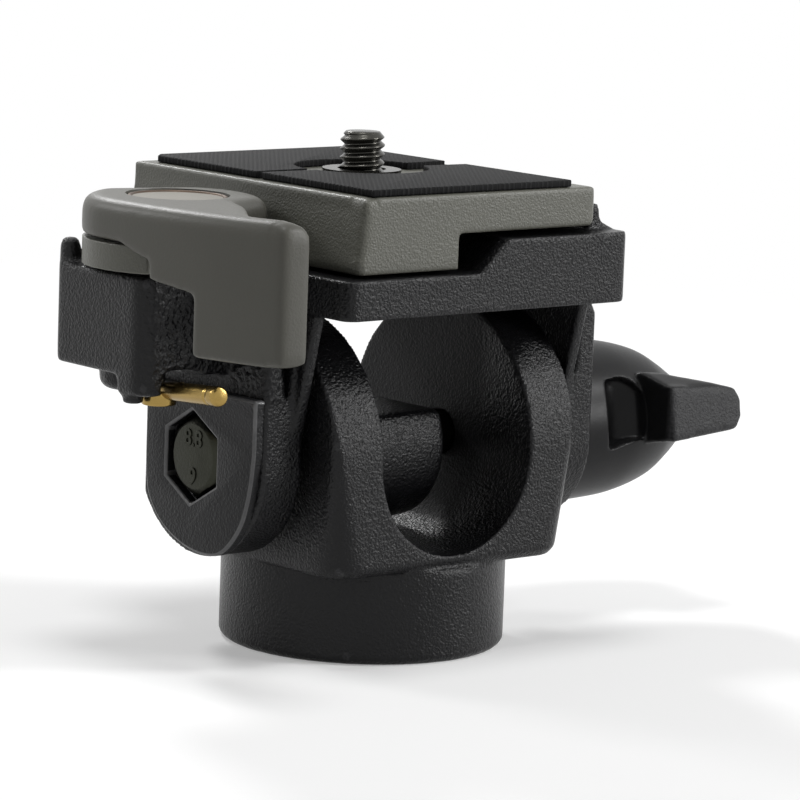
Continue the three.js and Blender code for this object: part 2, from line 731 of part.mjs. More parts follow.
add('knob_screw', makeKnobScrew(), blackOxide);
const springInner = knobScrewRadius + seatGap * 2;
add('knob_spring', tube(springInner + knobSpringWall, springInner, springStart, springEnd, 'x',
  pivotPlace, smallSides), springSteel);

// Knob: the wing, the finger scoop beside it and the flare over its root are turned up by the same angle
function makeTiltKnob() {
  const counterbore = knobScrewHeadRadius + seatGap;
  const skirtInner = knobRadius - knobSkirtWall;
  const bore = splineRoot + seatGap;
  const skirtEnd = knobStart + knobSkirtDepth;
  const outer = knobProfileShares.map(([along, radial]) =>
    [knobRadius * radial, knobStart + knobLength * along]);
  const shell = turned([
    ...outer, [counterbore, knobEnd], [counterbore, knobWebEnd], [knobScrewRadius + seatGap, knobWebEnd],
    [knobScrewRadius + seatGap, nutEnd + seatGap], [bore, nutEnd + seatGap], [bore, skirtEnd],
    [skirtInner, skirtEnd], [skirtInner, knobStart], outer[0]], 'x', pivotPlace, fineSides);
  const grooves = prism(splineOutline(splineTip + seatGap, bore - nutCoreInset, knobGrooveShare), 'x',
    skirtEnd - cutOverrun / 2, nutEnd + seatGap);
  const tipX = knobStart + wingEnd;
  const wingX = knobStart + wingStart;
  const waistX = knobStart + wingWaistEnd;
  const plan = polygon([
    [wingX, -wingReach], [wingX - wingRootShift, -wingWaist], [wingX, -bore], [waistX, -bore],
    [knobStart + wingRootEnd, -bore - seatGap], [waistX, -wingWaist], [waistX, -wingHookReach],
    [tipX, -wingHookReach - wingHookSlope], [tipX, -wingReach]]);
  const taper = polygon([
    [wingX - wingRootShift, pivotHeight - wingThickRoot / 2], [wingX, pivotHeight - wingThickRoot / 2],
    [tipX - wingTipEdge, pivotHeight - wingThickTip / 2], [tipX, pivotHeight - wingTipFlat / 2],
    [tipX, pivotHeight + wingTipFlat / 2], [tipX - wingTipEdge, pivotHeight + wingThickTip / 2],
    [wingX, pivotHeight + wingThickRoot / 2], [wingX - wingRootShift, pivotHeight + wingThickRoot / 2]]);
  const flatWing = prism(plan, 'z', pivotHeight - wingThickRoot, pivotHeight + wingThickRoot);
  const wing = flatWing.intersect(prism(taper, 'y', -wingReach, 0));
  const scoopPlan = new THREE.Shape();
  scoopPlan.moveTo(knobStart + scoopStart, -wingReach);
  scoopPlan.lineTo(knobStart + scoopStart + scoopSide, -wingWaist);
  scoopPlan.quadraticCurveTo(knobStart + scoopMiddle, -scoopFloor, wingX - wingRootShift, -wingWaist);
  scoopPlan.lineTo(wingX, -wingReach);
  const scoopCentre = pivotHeight + scoopRise;
  const scoopFront = new THREE.Shape();
  scoopFront.moveTo(knobStart + scoopStart, scoopCentre + scoopWide);
  scoopFront.lineTo(knobStart + scoopTopTurn, scoopCentre + scoopWide);
  scoopFront.quadraticCurveTo(knobStart + scoopWaistStart, scoopCentre + scoopWide, knobStart + scoopWaistEnd,
    scoopCentre + scoopWaist);
  scoopFront.lineTo(wingX, scoopCentre + scoopWaist);
  scoopFront.lineTo(wingX, scoopCentre - scoopWaist);
  scoopFront.lineTo(knobStart + scoopWaistStart, scoopCentre - scoopWaist);
  scoopFront.quadraticCurveTo(knobStart + scoopLowTurn, scoopCentre - scoopWaist, knobStart + scoopLowStart,
    scoopCentre - scoopWide);
  scoopFront.lineTo(knobStart + scoopStart, scoopCentre - scoopWide);
  const deepScoop = prism(scoopPlan, 'z', pivotHeight - knobRadius, pivotHeight + knobRadius, coarseSides);
  const scoop = deepScoop.intersect(prism(scoopFront, 'y', -wingReach, 0, coarseSides));
  const flareSlope = polygon([
    [knobStart + flareStart, pivotHeight], [knobStart + flareEnd, pivotHeight],
    [knobStart + flareEnd, pivotHeight + wingThickTip / 2],
    [knobStart + flareShoulder, pivotHeight + flareShoulderRise],
    [knobStart + flareStart, pivotHeight + flareStartRise]]);
  const flareFall = polygon([
    [-flareFront, pivotHeight], [-flareFront, pivotHeight + flareFrontRise],
    [-flareBack, pivotHeight + flareBackRise], [-bore, pivotHeight + flareBackRise], [-bore, pivotHeight]]);
  const flarePlan = polygon([
    [knobStart + flareStart, -flareSide], [wingX, -wingReach], [tipX, -wingReach], [tipX, 0],
    [knobStart + flareStart, 0]]);
  const flareBlock = prism(flareSlope, 'y', -wingReach, 0);
  const flare = flareBlock.intersect(prism(flareFall, 'x', knobStart, tipX)).intersect(
    prism(flarePlan, 'z', pivotHeight, pivotHeight + knobRadius));
  const lifted = (solid) => {
    const turnedUp = solid.translate([0, 0, -pivotHeight]).rotate([-wingLiftAngle, 0, 0]);
    return turnedUp.translate([0, 0, pivotHeight]);
  };
  const core = rod(bore + seatGap, 0, knobEnd + cutOverrun, 'x', pivotPlace, fineSides);
  const flared = join(shell, cut(lifted(flare), core));
  return join(cut(flared, grooves, lifted(scoop)), cut(lifted(wing), core));
}

add('tilt_knob', makeTiltKnob(), knobPlastic);

// Clamp lever: hub, curved arm and hanging paddle
const hubChord = [
  ...arcPoints(hubRightRadius, hubBeakAngle - wholeTurnAngle, hubChordStartAngle, coarseSides),
  ...arcPoints(hubLeftRadius, hubChordEndAngle, halfTurnAngle, coarseSides)];
const bowX = -leverX - hubLeftRadius + armBow;
const bowPoint = (radius, y) => [bowX - Math.sqrt(radius * radius - (y + leverY) * (y + leverY)), y];

function armPoints(fromY, toY, steps) {
  const ys = Array.from({ length: steps + 1 }, (_, index) => spacing(index / steps, fromY, toY));
  const outerSide = ys.map((y) => bowPoint(armBow, y));
  const innerSide = ys.map((y) => bowPoint(armBow - armThick, y)).reverse();
  return { outerSide, innerSide };
}

function makeClampLever() {
  const endY = -armReach + armThick / 2;
  const { outerSide, innerSide } = armPoints(-leverY, endY, coarseSides);
  const [endX] = bowPoint(armBow - armThick / 2, endY);
  const plan = polygon([...hubChord, ...outerSide,
    ...innerSide.filter(([, y]) => y < -armWebReach - leverY),
    bowPoint(armBow - armThick, -armWebReach),
    ...notchShares.map((share, index) => polar(hubRightRadius * share, notchAngles[index]))]);
  const end = rod(armThick / 2, leverTop - hubThick, leverTop, 'z', [endX, endY, 0], smallSides);
  const top = join(prism(plan, 'z', hubBottom, leverTop), end);
  const strip = armPoints(-armDropStart, endY, coarseSides);
  const stripPlan = polygon([...strip.outerSide, ...strip.innerSide]);
  const stripBottom = hubBottom - armDrop;
  const lower = join(prism(stripPlan, 'z', stripBottom, leverTop - hubThick / 2),
    rod(armThick / 2, stripBottom, leverTop - hubThick / 2, 'z', [endX, endY, 0], smallSides));
  const blade = armPoints(-paddleStart, endY, coarseSides);
  const bladePlan = polygon([...blade.outerSide, ...blade.innerSide]);
  const bladeBottom = hubBottom - paddleDrop;
  const sideView = roundedRectangle(-armReach, -paddleStart, bladeBottom, leverTop, paddleCorner);
  const blunt = prism(sideView, 'x', -leverX - hubLeftRadius, -leverX + hubLeftRadius);
  const bladeTop = hubBottom + hubThick / 2;
  const bladeEnd = rod(armThick / 2, bladeBottom, bladeTop, 'z', [endX, endY, 0], smallSides);
  const paddle = join(prism(bladePlan, 'z', bladeBottom, bladeTop), bladeEnd).intersect(blunt);
  const capSeat = leverTop - capSink - capThick - seatGap;
  const capRoom = rod(capRadius + seatGap, capSeat, leverTop + cutOverrun, 'z', leverPlace, midSides);
  const cavity = rod(hubCavityRadius, hubBottom + hubFloor, leverTop, 'z', leverPlace, midSides);
  const shaftHole = rod(shaftRadius + seatGap, hubBottom - cutOverrun, leverTop, 'z', leverPlace, smallSides);
  return cut(join(top, lower, paddle), capRoom, cavity, shaftHole);
}

add('clamp_lever', makeClampLever(), leverPaint);

const capTop = leverTop - capSink;
add('lever_cap', rod(capRadius, capTop - capThick, capTop, 'z', leverPlace, midSides), capMetal);

function makeLeverCam() {
  const leftStart = wholeTurnAngle + camLeftStartAngle;
  const outline = polygon([
    ...arcPoints(camPressRadius, camPressStartAngle, camPressEndAngle, coarseSides),
    polar(camOpenRadius, wholeTurnAngle + camOpenAngle),
    ...arcPoints(camLeftRadius, leftStart, leftStart + camLeftEndAngle - camLeftStartAngle, coarseSides),
  ]);
  const hole = rod(shaftRadius + seatGap, camBottom - cutOverrun, camTop + cutOverrun, 'z', leverPlace,
    smallSides);
  return cut(prism(outline, 'z', camBottom, camTop), hole);
}

add('lever_cam', makeLeverCam(), platePaint);

const shaftTop = hubBottom + hubFloor + seatGap / 2;
add('lever_shaft', tube(shaftRadius, leverScrewRadius + seatGap, shaftLow, shaftTop, 'z', leverPlace,
  smallSides), springSteel);
const springSeat = shaftLow + shaftSeat + seatGap;
add('lever_spring', tube(leverSpringRadius, leverSpringRadius - leverSpringWall, springSeat,
  springSeat + leverSpringHeight - 2 * seatGap, 'z', leverPlace, midSides), springSteel);
const washerLow = shaftTop + seatGap;
const washerTop = washerLow + leverWasherThick;
const leverHeadLow = washerTop + seatGap;
add('lever_washer', tube(leverWasherRadius, leverScrewRadius + seatGap, washerLow, washerTop, 'z',
  leverPlace, smallSides), springSteel);
add('lever_screw', turned([
  [0, leverHeadLow - leverScrewLength], [leverScrewRadius, leverHeadLow - leverScrewLength],
  [leverScrewRadius, leverHeadLow], [leverScrewHeadRadius, leverHeadLow],
  [leverScrewHeadRadius, leverHeadLow + leverScrewHeadThick], [0, leverHeadLow + leverScrewHeadThick]],
'z', leverPlace, smallSides), blackOxide);

// Safety latch: a hub on its pin, a neck and a round rod with a groove near its end
function makeSafetyLatch() {
  const hub = rod(latchHubRadius, latchHubBottom, latchHubBottom + latchHubThick, 'z', latchPlace,
    smallSides);
  const neck = rod(latchNeckRadius, latchHubBottom, latchNeckTop, 'z', latchPlace, smallSides);
  const bar = turned([
    [0, 0], [latchRodRadius, 0], [latchRodRadius, latchRodLength - latchGroove - latchRodRadius / 2],
    [latchRodRadius - latchGrooveDepth, latchRodLength - latchGroove],
    [latchRodRadius, latchRodLength - latchGroove + latchRodRadius / 4],
    [latchRodRadius, latchRodLength - latchRodRadius / 2], [latchRodRadius / 2, latchRodLength],
    [0, latchRodLength]],
  'x', [0, 0, 0], smallSides);
  const raised = bar.rotate([0, -latchTiltAngle, 0]);
  const laid = raised.rotate([0, 0, -quarterTurnAngle - latchRodAngle]);
  const placed = laid.translate([-latchX, -latchY, latchRodHeight]);
  const hole = rod(latchPinRadius + seatGap, latchHubBottom - cutOverrun, latchNeckTop + cutOverrun, 'z',
    latchPlace, smallSides);
  return cut(join(hub, neck, placed), hole);
}

add('safety_latch', makeSafetyLatch(), brass);
const latchPinTop = latchHubBottom + latchPinLength;
add('latch_pin', rod(latchPinRadius, latchHubBottom, latchPinTop, 'z', latchPlace, smallSides), blackOxide);
const latchSpringLow = latchNeckTop + seatGap;
add('latch_spring', tube(latchHubRadius - seatGap, latchHubRadius - seatGap - latchSpringWall, latchSpringLow,
  latchSpringLow + latchSpringHeight, 'z', latchPlace, smallSides), springSteel);

// Release plunger, pressed down by the plate, with its spring and retainer
const retainerTop = trayBottom + retainerThick;
const flangeTop = floorTop - plungerRoof - seatGap - plungerTravel;
const flangeBottom = flangeTop - plungerFlangeThick;
const plungerTop = floorTop + seatGap;
add('release_plunger', turned([
  [0, flangeBottom], [plungerFlangeRadius, flangeBottom], [plungerFlangeRadius, flangeTop],
  [plungerRadius, flangeTop], [plungerRadius, plungerTop - plungerRadius / 2], [plungerRadius / 2, plungerTop],
  [0, plungerTop]], 'z', plungerPlace, smallSides), brass);
add('plunger_spring', tube(plungerFlangeRadius, plungerFlangeRadius - plungerSpringWall, retainerTop + seatGap,
  flangeBottom - seatGap, 'z', plungerPlace, smallSides), springSteel);
add('plunger_retainer', tube(retainerRadius, plungerRadius, trayBottom, retainerTop, 'z', plungerPlace,
  smallSides), springSteel);

// Quick-release plate: a dovetail casting with a thick left part and a thin right flange
function makePlate() {
  const low = plateLowCorner;
  const profile = polygon([
    [-plateLeft, plateTop], [-plateLeft, plateTop - plateRimHeight],
    [-plateFlank(plateLow + low), plateLow + low],
    [-plateFlank(plateLow) + low / 2, plateLow], [-plateStep, plateLow], [-plateStep, flangeLow],
    [rightFlank(flangeLow) - low, flangeLow], [rightFlank(flangeLow + low), flangeLow + low],
    [plateRight, plateTop]]);
  const wide = plateLeft + plateLeftExtraWidth;
  const plan = roundedRectangle(-wide, plateRight + plateRightExtraWidth, -plateFront, plateBack, plateCorner);
  const body = prism(profile, 'y', -plateFront, plateBack).intersect(prism(plan, 'z', plateLow, plateTop));
  const headRoom = rod(screwHeadRadius + seatGap, plateLow - cutOverrun, plateTop - plateWeb, 'z', screwPlace,
    midSides);
  const screwHole = rod(screwRadius + seatGap, plateLow - cutOverrun, plateTop + cutOverrun, 'z', screwPlace,
    midSides);
  const hollow = box(-plateHollowLeft, -plateStep - plateHollowRoof, -plateHollowBack, plateHollowBack,
    plateLow - cutOverrun, plateTop - plateHollowRoof);
  return cut(body, headRoom, screwHole, hollow);
}

add('quick_release_plate', makePlate(), platePaint);

function makePad(outline) {
  const window = rod(padWindow, plateTop - cutOverrun, padTop + cutOverrun, 'z', screwPlace, fineSides);
  return cut(prism(polygon(outline), 'z', plateTop + padBond, padTop), window);
}

const slitFront = padSlitPlace - padSlit / 2;
const slitBack = padSlitPlace + padSlit / 2;
add('front_pad', makePad([
  [-padLeft, -padFront], [padRight, -padFront], [padRight, slitFront - padSlitSpread], [-padLeft, slitFront],
]), rubber);
add('rear_pad', makePad([
  [-padLeft, slitBack], [padRight, slitBack + padSlitSpread], [padRight, padBack],
  [-padLeft + padCornerCut, padBack], [-padLeft, padBack - padCornerCut],
]), rubber);

function makeCameraScrew() {
  const body = turned([
    [0, screwHeadBottom], [screwHeadRadius, screwHeadBottom], [screwHeadRadius, screwHeadTop],
    [screwRadius, screwHeadTop], [screwRadius, screwTip - screwChamfer],
    [screwRadius - screwChamfer, screwTip], [0, screwTip]], 'z', screwPlace, midSides);
  const slot = box(-screwX - screwHeadRadius - cutOverrun, -screwX + screwHeadRadius + cutOverrun,
    screwY - screwSlot / 2, screwY + screwSlot / 2, screwHeadBottom - cutOverrun,
    screwHeadBottom + screwHeadThick / 2);
  return cut(body, slot);
}

add('camera_screw', makeCameraScrew(), blackOxide);
const clipLow = plateTop + padBond;
add('screw_clip', tube(clipRadius, screwRadius + seatGap, clipLow, clipLow + clipThick, 'z', screwPlace,
  midSides), capMetal);

export default group;
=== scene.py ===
# Monopod head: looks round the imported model. Metres, same frame as the model.
import bpy
import bmesh
import math
import numpy as np
from mathutils import Matrix, Vector


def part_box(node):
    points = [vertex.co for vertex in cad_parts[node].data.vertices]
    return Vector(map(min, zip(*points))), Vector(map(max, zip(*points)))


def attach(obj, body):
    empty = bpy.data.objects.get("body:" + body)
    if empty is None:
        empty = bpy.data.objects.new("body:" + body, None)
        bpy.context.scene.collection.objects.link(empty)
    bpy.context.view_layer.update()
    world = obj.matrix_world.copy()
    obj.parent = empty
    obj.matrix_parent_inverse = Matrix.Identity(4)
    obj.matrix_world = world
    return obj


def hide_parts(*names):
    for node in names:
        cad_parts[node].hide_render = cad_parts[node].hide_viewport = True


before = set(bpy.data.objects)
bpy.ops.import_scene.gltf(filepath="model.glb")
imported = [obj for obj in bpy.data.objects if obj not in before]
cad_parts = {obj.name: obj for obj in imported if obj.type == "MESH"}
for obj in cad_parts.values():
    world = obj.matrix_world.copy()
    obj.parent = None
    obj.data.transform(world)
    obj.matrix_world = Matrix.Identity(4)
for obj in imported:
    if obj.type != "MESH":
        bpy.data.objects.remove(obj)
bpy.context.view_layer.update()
mm = 0.001
tiny = 1e-6  # lengths below this count as nothing


def linked(name, data):
    thing = bpy.data.objects.new(name, data)
    bpy.context.scene.collection.objects.link(thing)
    return thing


def outwards(azimuth, elevation):
    # the way from the object to a camera or lamp; azimuth 0 is in front, angles in degrees
    a, e = math.radians(azimuth), math.radians(elevation)
    return Vector((math.sin(a) * math.cos(e), -math.cos(a) * math.cos(e), math.sin(e)))


# camera, at the photograph's angle
view = {
    "azimuth": -39.834, "elevation": 8.927, "roll": 2.052,  # degrees
    "distance": 0.58917, "target": (0, 0, 0.035), "clipStart": 0.01,
    "lens": 185.15, "sensor": 36, "shiftX": 0.0389, "shiftY": -0.0056,
}


def placeCamera():
    turn, roll = math.radians(view["azimuth"]), math.radians(view["roll"])
    back = outwards(view["azimuth"], view["elevation"])
    right = Vector((math.cos(turn), math.sin(turn), 0))
    up = back.cross(right)
    tilted = (right * math.cos(roll) + up * math.sin(roll),
              up * math.cos(roll) - right * math.sin(roll), back)
    data = bpy.data.cameras.new("camera")
    data.lens = view["lens"]
    data.sensor_width = view["sensor"]
    data.shift_x = view["shiftX"]
    data.shift_y = view["shiftY"]
    data.clip_start = view["clipStart"]
    camera = linked("camera", data)
    place = Matrix(tilted).transposed().to_4x4()
    place.translation = Vector(view["target"]) + back * view["distance"]
    camera.matrix_world = place
    bpy.context.scene.camera = camera


placeCamera()
bpy.context.scene.view_settings.view_transform = "Standard"
print("camera placed")


# shader maths: a Wire is a socket that can be used in sums
def feed(tree, socket, item):
    if isinstance(item, Wire):
        tree.links.new(item.socket, socket)
    else:
        socket.default_value = item


def reckon(tree, operation, *items):
    node = tree.nodes.new("ShaderNodeMath")
    node.operation = operation
    for socket, item in zip(node.inputs, items):
        feed(tree, socket, item)
    return Wire(tree, node.outputs[0])


class Wire:
    def __init__(self, tree, socket):
        self.tree = tree
        self.socket = socket

    def __add__(self, other):
        return reckon(self.tree, "ADD", self, other)

    def __sub__(self, other):
        return reckon(self.tree, "SUBTRACT", self, other)

    def __rsub__(self, other):
        return reckon(self.tree, "SUBTRACT", other, self)

    def __mul__(self, other):
        return reckon(self.tree, "MULTIPLY", self, other)

    def __truediv__(self, other):
        return reckon(self.tree, "DIVIDE", self, other)

    def __pow__(self, other):
        return reckon(self.tree, "POWER", self, other)

    def within(self, low, high):
        return reckon(self.tree, "MAXIMUM", reckon(self.tree, "MINIMUM", self, high), low)

    __radd__ = __add__
    __rmul__ = __mul__


def ramp(value, low, high):
    # 0 below the first value, 1 above the second
    return ((value - low) / (high - low)).within(0.0, 1.0)


def above(value, place, soft):
    return ramp(value, place - soft, place + soft)


def below(value, place, soft):
    return ramp(value * -1, -place - soft, soft - place)


def shade(red, green, blue):
    return (red, green, blue, 1)


def setStops(colorRamp, stops):
    while len(colorRamp.elements) < len(stops):
        colorRamp.elements.new(0.5)
    for element, (place, color) in zip(colorRamp.elements, stops):
        element.position = place
        element.color = shade(*color)


class Nodes:
    def __init__(self, holder):
        holder.use_nodes = True
        self.tree = holder.node_tree
        self.tree.nodes.clear()

    def node(self, kind, settings=None, sockets=None, out=0):
        node = self.tree.nodes.new(kind)
        for key, value in (settings or {}).items():
            if key == "stops":
                setStops(node.color_ramp, value)
            else:
                setattr(node, key, value)
        for key, value in (sockets or {}).items():
            feed(self.tree, node.inputs[key], value)
        return Wire(self.tree, node.outputs[out])

    def output(self, kind, shader):
        node = self.tree.nodes.new(kind)
        self.tree.links.new(shader.socket, node.inputs["Surface"])

    def seen(self):
        # 1 where the camera, a reflection or a see-through ray looks
        first, second, third = (self.node("ShaderNodeLightPath", out=key)
                                for key in ("Is Camera Ray", "Is Glossy Ray", "Is Transmission Ray"))
        return (first + second + third).within(0.0, 1.0)


class Finish(Nodes):
    def __init__(self, name):
        self.material = bpy.data.materials.new(name)
        super().__init__(self.material)
        self.coords = self.node("ShaderNodeTexCoord", out="Object")

    def place(self):
        # x, y and z in millimetres
        parts = [self.node("ShaderNodeSeparateXYZ", {}, {0: self.coords}, out=key) for key in ("X", "Y", "Z")]
        return [part / mm for part in parts]

    def noise(self, size, detail=2.0, out="Fac"):
        return self.node("ShaderNodeTexNoise", {}, {
            "Vector": self.coords, "Scale": 1 / (size * mm), "Detail": detail}, out=out)

    def cells(self, size, coords=None, smoothness=0.6):
        return self.node("ShaderNodeTexVoronoi", {"feature": "SMOOTH_F1"}, {
            "Vector": coords or self.coords, "Scale": 1 / (size * mm),
            "Smoothness": smoothness}, out="Distance")

    def shades(self, factor, stops):
        return self.node("ShaderNodeValToRGB", {"stops": stops}, {"Fac": factor}, out="Color")

    def mixed(self, factor, first, second):
        return self.node("ShaderNodeMix", {"data_type": "RGBA"}, {0: factor, 6: first, 7: second}, out=2)

    def edges(self, low, high):
        # 1 along the rims, 0 on flats and in hollows
        return ramp(self.node("ShaderNodeNewGeometry", out="Pointiness"), low, high)

    def bumped(self, height, depth):
        return self.node("ShaderNodeBump", {}, {
            "Height": height, "Distance": depth * mm, "Strength": 1.0}, out="Normal")

    def surface(self, **values):
        names = {"color": "Base Color", "roughness": "Roughness", "metallic": "Metallic", "normal": "Normal",
                 "specular": "Specular IOR Level"}
        sockets = {names[key]: item for key, item in values.items()}
        self.output("ShaderNodeOutputMaterial", self.node("ShaderNodeBsdfPrincipled", {}, sockets))
        return self.material


# crinkled paint of the two castings; sizes in millimetres
castingPaint = {
    "dark": (0.0034, 0.0034, 0.0039), "light": (0.0066, 0.0066, 0.0074), "worn": (0.03, 0.03, 0.032),
    "wearAndHighlight": 0.7, "rimFrom": 0.52, "rimTo": 0.6, "warp": 2.2, "bend": 0.9,
    "grain": 0.5, "depth": 0.09, "fine": 0.34, "fineDepth": 0.18, "coarse": 0.85, "coarseDepth": 0.3,
    "patch": 7, "patchSpread": 0.8, "patchLeast": 0.55, "calm": 0.6, "footCalm": 0.6,
    "roughness": 0.24, "spread": 0.12, "padRough": 0.1, "insideRough": 0.3, "specular": 0.22,
    # where the paint changes: a place, and half of the width of the change
    "housingEdge": (-27, 0.5), "housingLow": (38, 0.5), "housingFront": (-5.5, 0.8),
    "padFace": (-30.45, 0.25), "footTop": (13, 0.3),
    "insideNear": (7.5, 0.5), "insideFar": (13.8, 0.2), "insideFront": (-10, 2), "insideLow": (15, 1),
}


def makeCastingFinish():
    look = castingPaint
    finish = Finish("casting paint")
    x, y, z = finish.place()
    warp = finish.noise(look["warp"], detail=1, out="Color")
    bend = look["bend"] * mm
    bent = finish.node("ShaderNodeVectorMath", {"operation": "MULTIPLY_ADD"}, {
        0: warp, 1: (bend, bend, bend), 2: finish.coords}, out="Vector")
    cells = finish.cells(look["grain"], bent)
    big = finish.cells(look["coarse"], bent)
    fine = finish.noise(look["fine"])
    housing = below(x, *look["housingEdge"]) * above(z, *look["housingLow"])
    crinkled = housing * below(y, *look["housingFront"])
    padFace = below(x, *look["padFace"]) * (1 - housing)
    foot = below(z, *look["footTop"])
    inside = above(x, *look["insideNear"]) * below(x, *look["insideFar"])
    inside = inside * above(y, *look["insideFront"]) * above(z, *look["insideLow"])
    calm = 1 - (1 - look["calm"]) * (padFace + foot * look["footCalm"]).within(0.0, 1.0)
    patchy = finish.noise(look["patch"]) * look["patchSpread"] + look["patchLeast"]
    height = (cells * (1 - crinkled) * look["depth"] + big * crinkled * look["coarseDepth"]) * patchy
    height = (height + fine * look["fineDepth"]) * calm
    tone = (fine * 0.5 + cells * 0.5).within(0.0, 1.0)
    plain = finish.mixed(tone, shade(*look["dark"]), shade(*look["light"]))
    # rims come out lighter: partly paint worn through, partly a painted highlight along the edges
    worn = finish.edges(look["rimFrom"], look["rimTo"]) * look["wearAndHighlight"]
    rough = look["roughness"] + fine * look["spread"]
    rough = rough + padFace * look["padRough"] + inside * look["insideRough"]
    return finish.surface(color=finish.mixed(worn, plain, shade(*look["worn"])), roughness=rough,
                          normal=finish.bumped(height, 1.0), specular=look["specular"])


# satin paint of the lever and the plate, and a pale painted highlight for the rim of the leg's pad
satin = {"dots": 1.6, "cloud": 9, "rimFrom": 0.53, "rimTo": 0.62, "spread": 0.14}
leverPaint = {"dark": (0.058, 0.0565, 0.047), "light": (0.080, 0.078, 0.065), "worn": (0.15, 0.145, 0.125),
              "grain": 0.24, "depth": 0.016, "wearAndHighlight": 0.3, "roughness": 0.38, "specular": 0.36}
platePaint = {"dark": (0.078, 0.078, 0.065), "light": (0.126, 0.126, 0.105), "worn": (0.23, 0.225, 0.195),
              "grain": 0.22, "depth": 0.05, "wearAndHighlight": 0.8, "roughness": 0.32, "specular": 0.35}
# the pad rim's pale colour is a painted highlight
wornEdge = {"dark": (0.012, 0.012, 0.013), "light": (0.11, 0.11, 0.113), "worn": (0.14, 0.14, 0.143),
            "grain": 0.5, "depth": 0.05, "wearAndHighlight": 0.5, "roughness": 0.24, "specular": 0.5}


def makeSatinFinish(name, look):
    finish = Finish(name)
    speck = finish.noise(look["grain"], detail=3)
    dots = finish.cells(look["grain"] * satin["dots"])
    cloud = finish.noise(satin["cloud"])
    plain = finish.mixed(cloud * 0.5 + speck * 0.5, shade(*look["dark"]), shade(*look["light"]))
    # rims come out lighter: partly paint worn through, partly a painted highlight along the edges
    worn = finish.edges(satin["rimFrom"], satin["rimTo"]) * look["wearAndHighlight"]
    return finish.surface(color=finish.mixed(worn, plain, shade(*look["worn"])),
                          roughness=look["roughness"] + speck * satin["spread"],
                          normal=finish.bumped(speck + dots, look["depth"]), specular=look["specular"])


# woven rubber of the plate's pads
padRubber = {
    "turn": 38, "thread": 0.62, "bands": 3.2, "waver": 0.5, "speck": 0.25, "speckShare": 0.3, "depth": 0.08,
    "stops": ((0.1, (0.002, 0.002, 0.0023)), (0.9, (0.011, 0.011, 0.0115))),
    "roughness": 0.6, "spread": 0.2, "specular": 0.12,
}


def makeRubberFinish():
    look = padRubber
    finish = Finish("pad rubber")
    turned = finish.node("ShaderNodeMapping", {}, {
        "Vector": finish.coords, "Rotation": (0, 0, math.radians(look["turn"]))}, out="Vector")
    first, second = (finish.node("ShaderNodeTexWave", {"wave_type": "BANDS", "bands_direction": way}, {
        "Vector": turned, "Scale": 1 / (look["thread"] * mm) / look["bands"], "Distortion": look["waver"],
        "Detail": 1.0}, out="Fac") for way in ("X", "Y"))
    speck = finish.noise(look["speck"])
    height = first * second + speck * look["speckShare"]
    return finish.surface(color=finish.shades(height, look["stops"]),
                          roughness=look["roughness"] + speck * look["spread"],
                          normal=finish.bumped(height, look["depth"]), specular=look["specular"])


metalCloud = {"size": 4, "share": 0.7}
metals = {
    "steel": {"name": "zinc steel", "dark": (0.5, 0.5, 0.51), "light": (0.62, 0.62, 0.62),
              "roughness": 0.28, "spread": 0.14, "grain": 0.3, "depth": 0.004},
    "darkSteel": {"name": "dark steel", "dark": (0.035, 0.034, 0.030), "light": (0.075, 0.073, 0.066),
                  "roughness": 0.2, "spread": 0.14, "grain": 0.35, "depth": 0.01},
    "boltHead": {"name": "bolt blackening", "dark": (0.018, 0.019, 0.014), "light": (0.045, 0.046, 0.036),
                 "roughness": 0.3, "spread": 0.14, "grain": 0.4, "depth": 0.05},
    "brass": {"name": "brass", "dark": (0.25, 0.165, 0.045), "light": (0.4, 0.28, 0.095),
              "roughness": 0.2, "spread": 0.1, "grain": 1.5, "depth": 0.001},
    "capMetal": {"name": "cap metal", "dark": (0.16, 0.15, 0.13), "light": (0.2, 0.19, 0.165),
                 "roughness": 0.42, "spread": 0.14, "grain": 0.25, "depth": 0.01},
    # the cap ring's darker brown is painted shade of the recess wall round the cap
    "capRingShade": {"name": "cap ring painted shade", "dark": (0.07, 0.05, 0.038), "light": (0.11, 0.08, 0.06),
                "roughness": 0.45, "spread": 0.14, "grain": 0.3, "depth": 0.01},
}


def makeMetalFinish(look):
    finish = Finish(look["name"])
    speck = finish.noise(look["grain"], detail=3)
    share = metalCloud["share"]
    tone = finish.noise(metalCloud["size"]) * share + speck * (1 - share)
    return finish.surface(color=finish.mixed(tone, shade(*look["dark"]), shade(*look["light"])),
                          roughness=look["roughness"] + speck * look["spread"], metallic=1.0,
                          normal=finish.bumped(speck, look["depth"]))


# moulded plastic of the knob, with a grained panel on the front of its wing; the panel's lighter colour is a
# painted sheen
knobPlastic = {
    "dark": (0.003, 0.003, 0.0034), "light": (0.0085, 0.0085, 0.009), "speck": 0.42, "cloud": 6, "share": 0.6,
    "depth": 0.01, "roughness": 0.3, "spread": 0.12, "specular": 0.15,
    "sheenPanel": (0.055, 0.055, 0.057), "panelFront": (-15, 0.4), "panelDepth": 0.13, "panelRough": 0.08,
}


def makePlasticFinish():
    look = knobPlastic
    finish = Finish("knob plastic")
    sheenPanel = below(finish.place()[1], *look["panelFront"])
    speck = finish.noise(look["speck"])
    tone = finish.noise(look["cloud"]) * look["share"] + speck * (1 - look["share"])
    plain = finish.mixed(tone, shade(*look["dark"]), shade(*look["light"]))
    # the panel's lighter colour is a painted reflection of the lamp; its grain and roughness are real
    return finish.surface(color=finish.mixed(sheenPanel * speck, plain, shade(*look["sheenPanel"])),
                          roughness=look["roughness"] + speck * look["spread"] + sheenPanel * look["panelRough"],
                          normal=finish.bumped(speck * (sheenPanel * look["panelDepth"] + look["depth"]), 1.0),
                          specular=look["specular"])


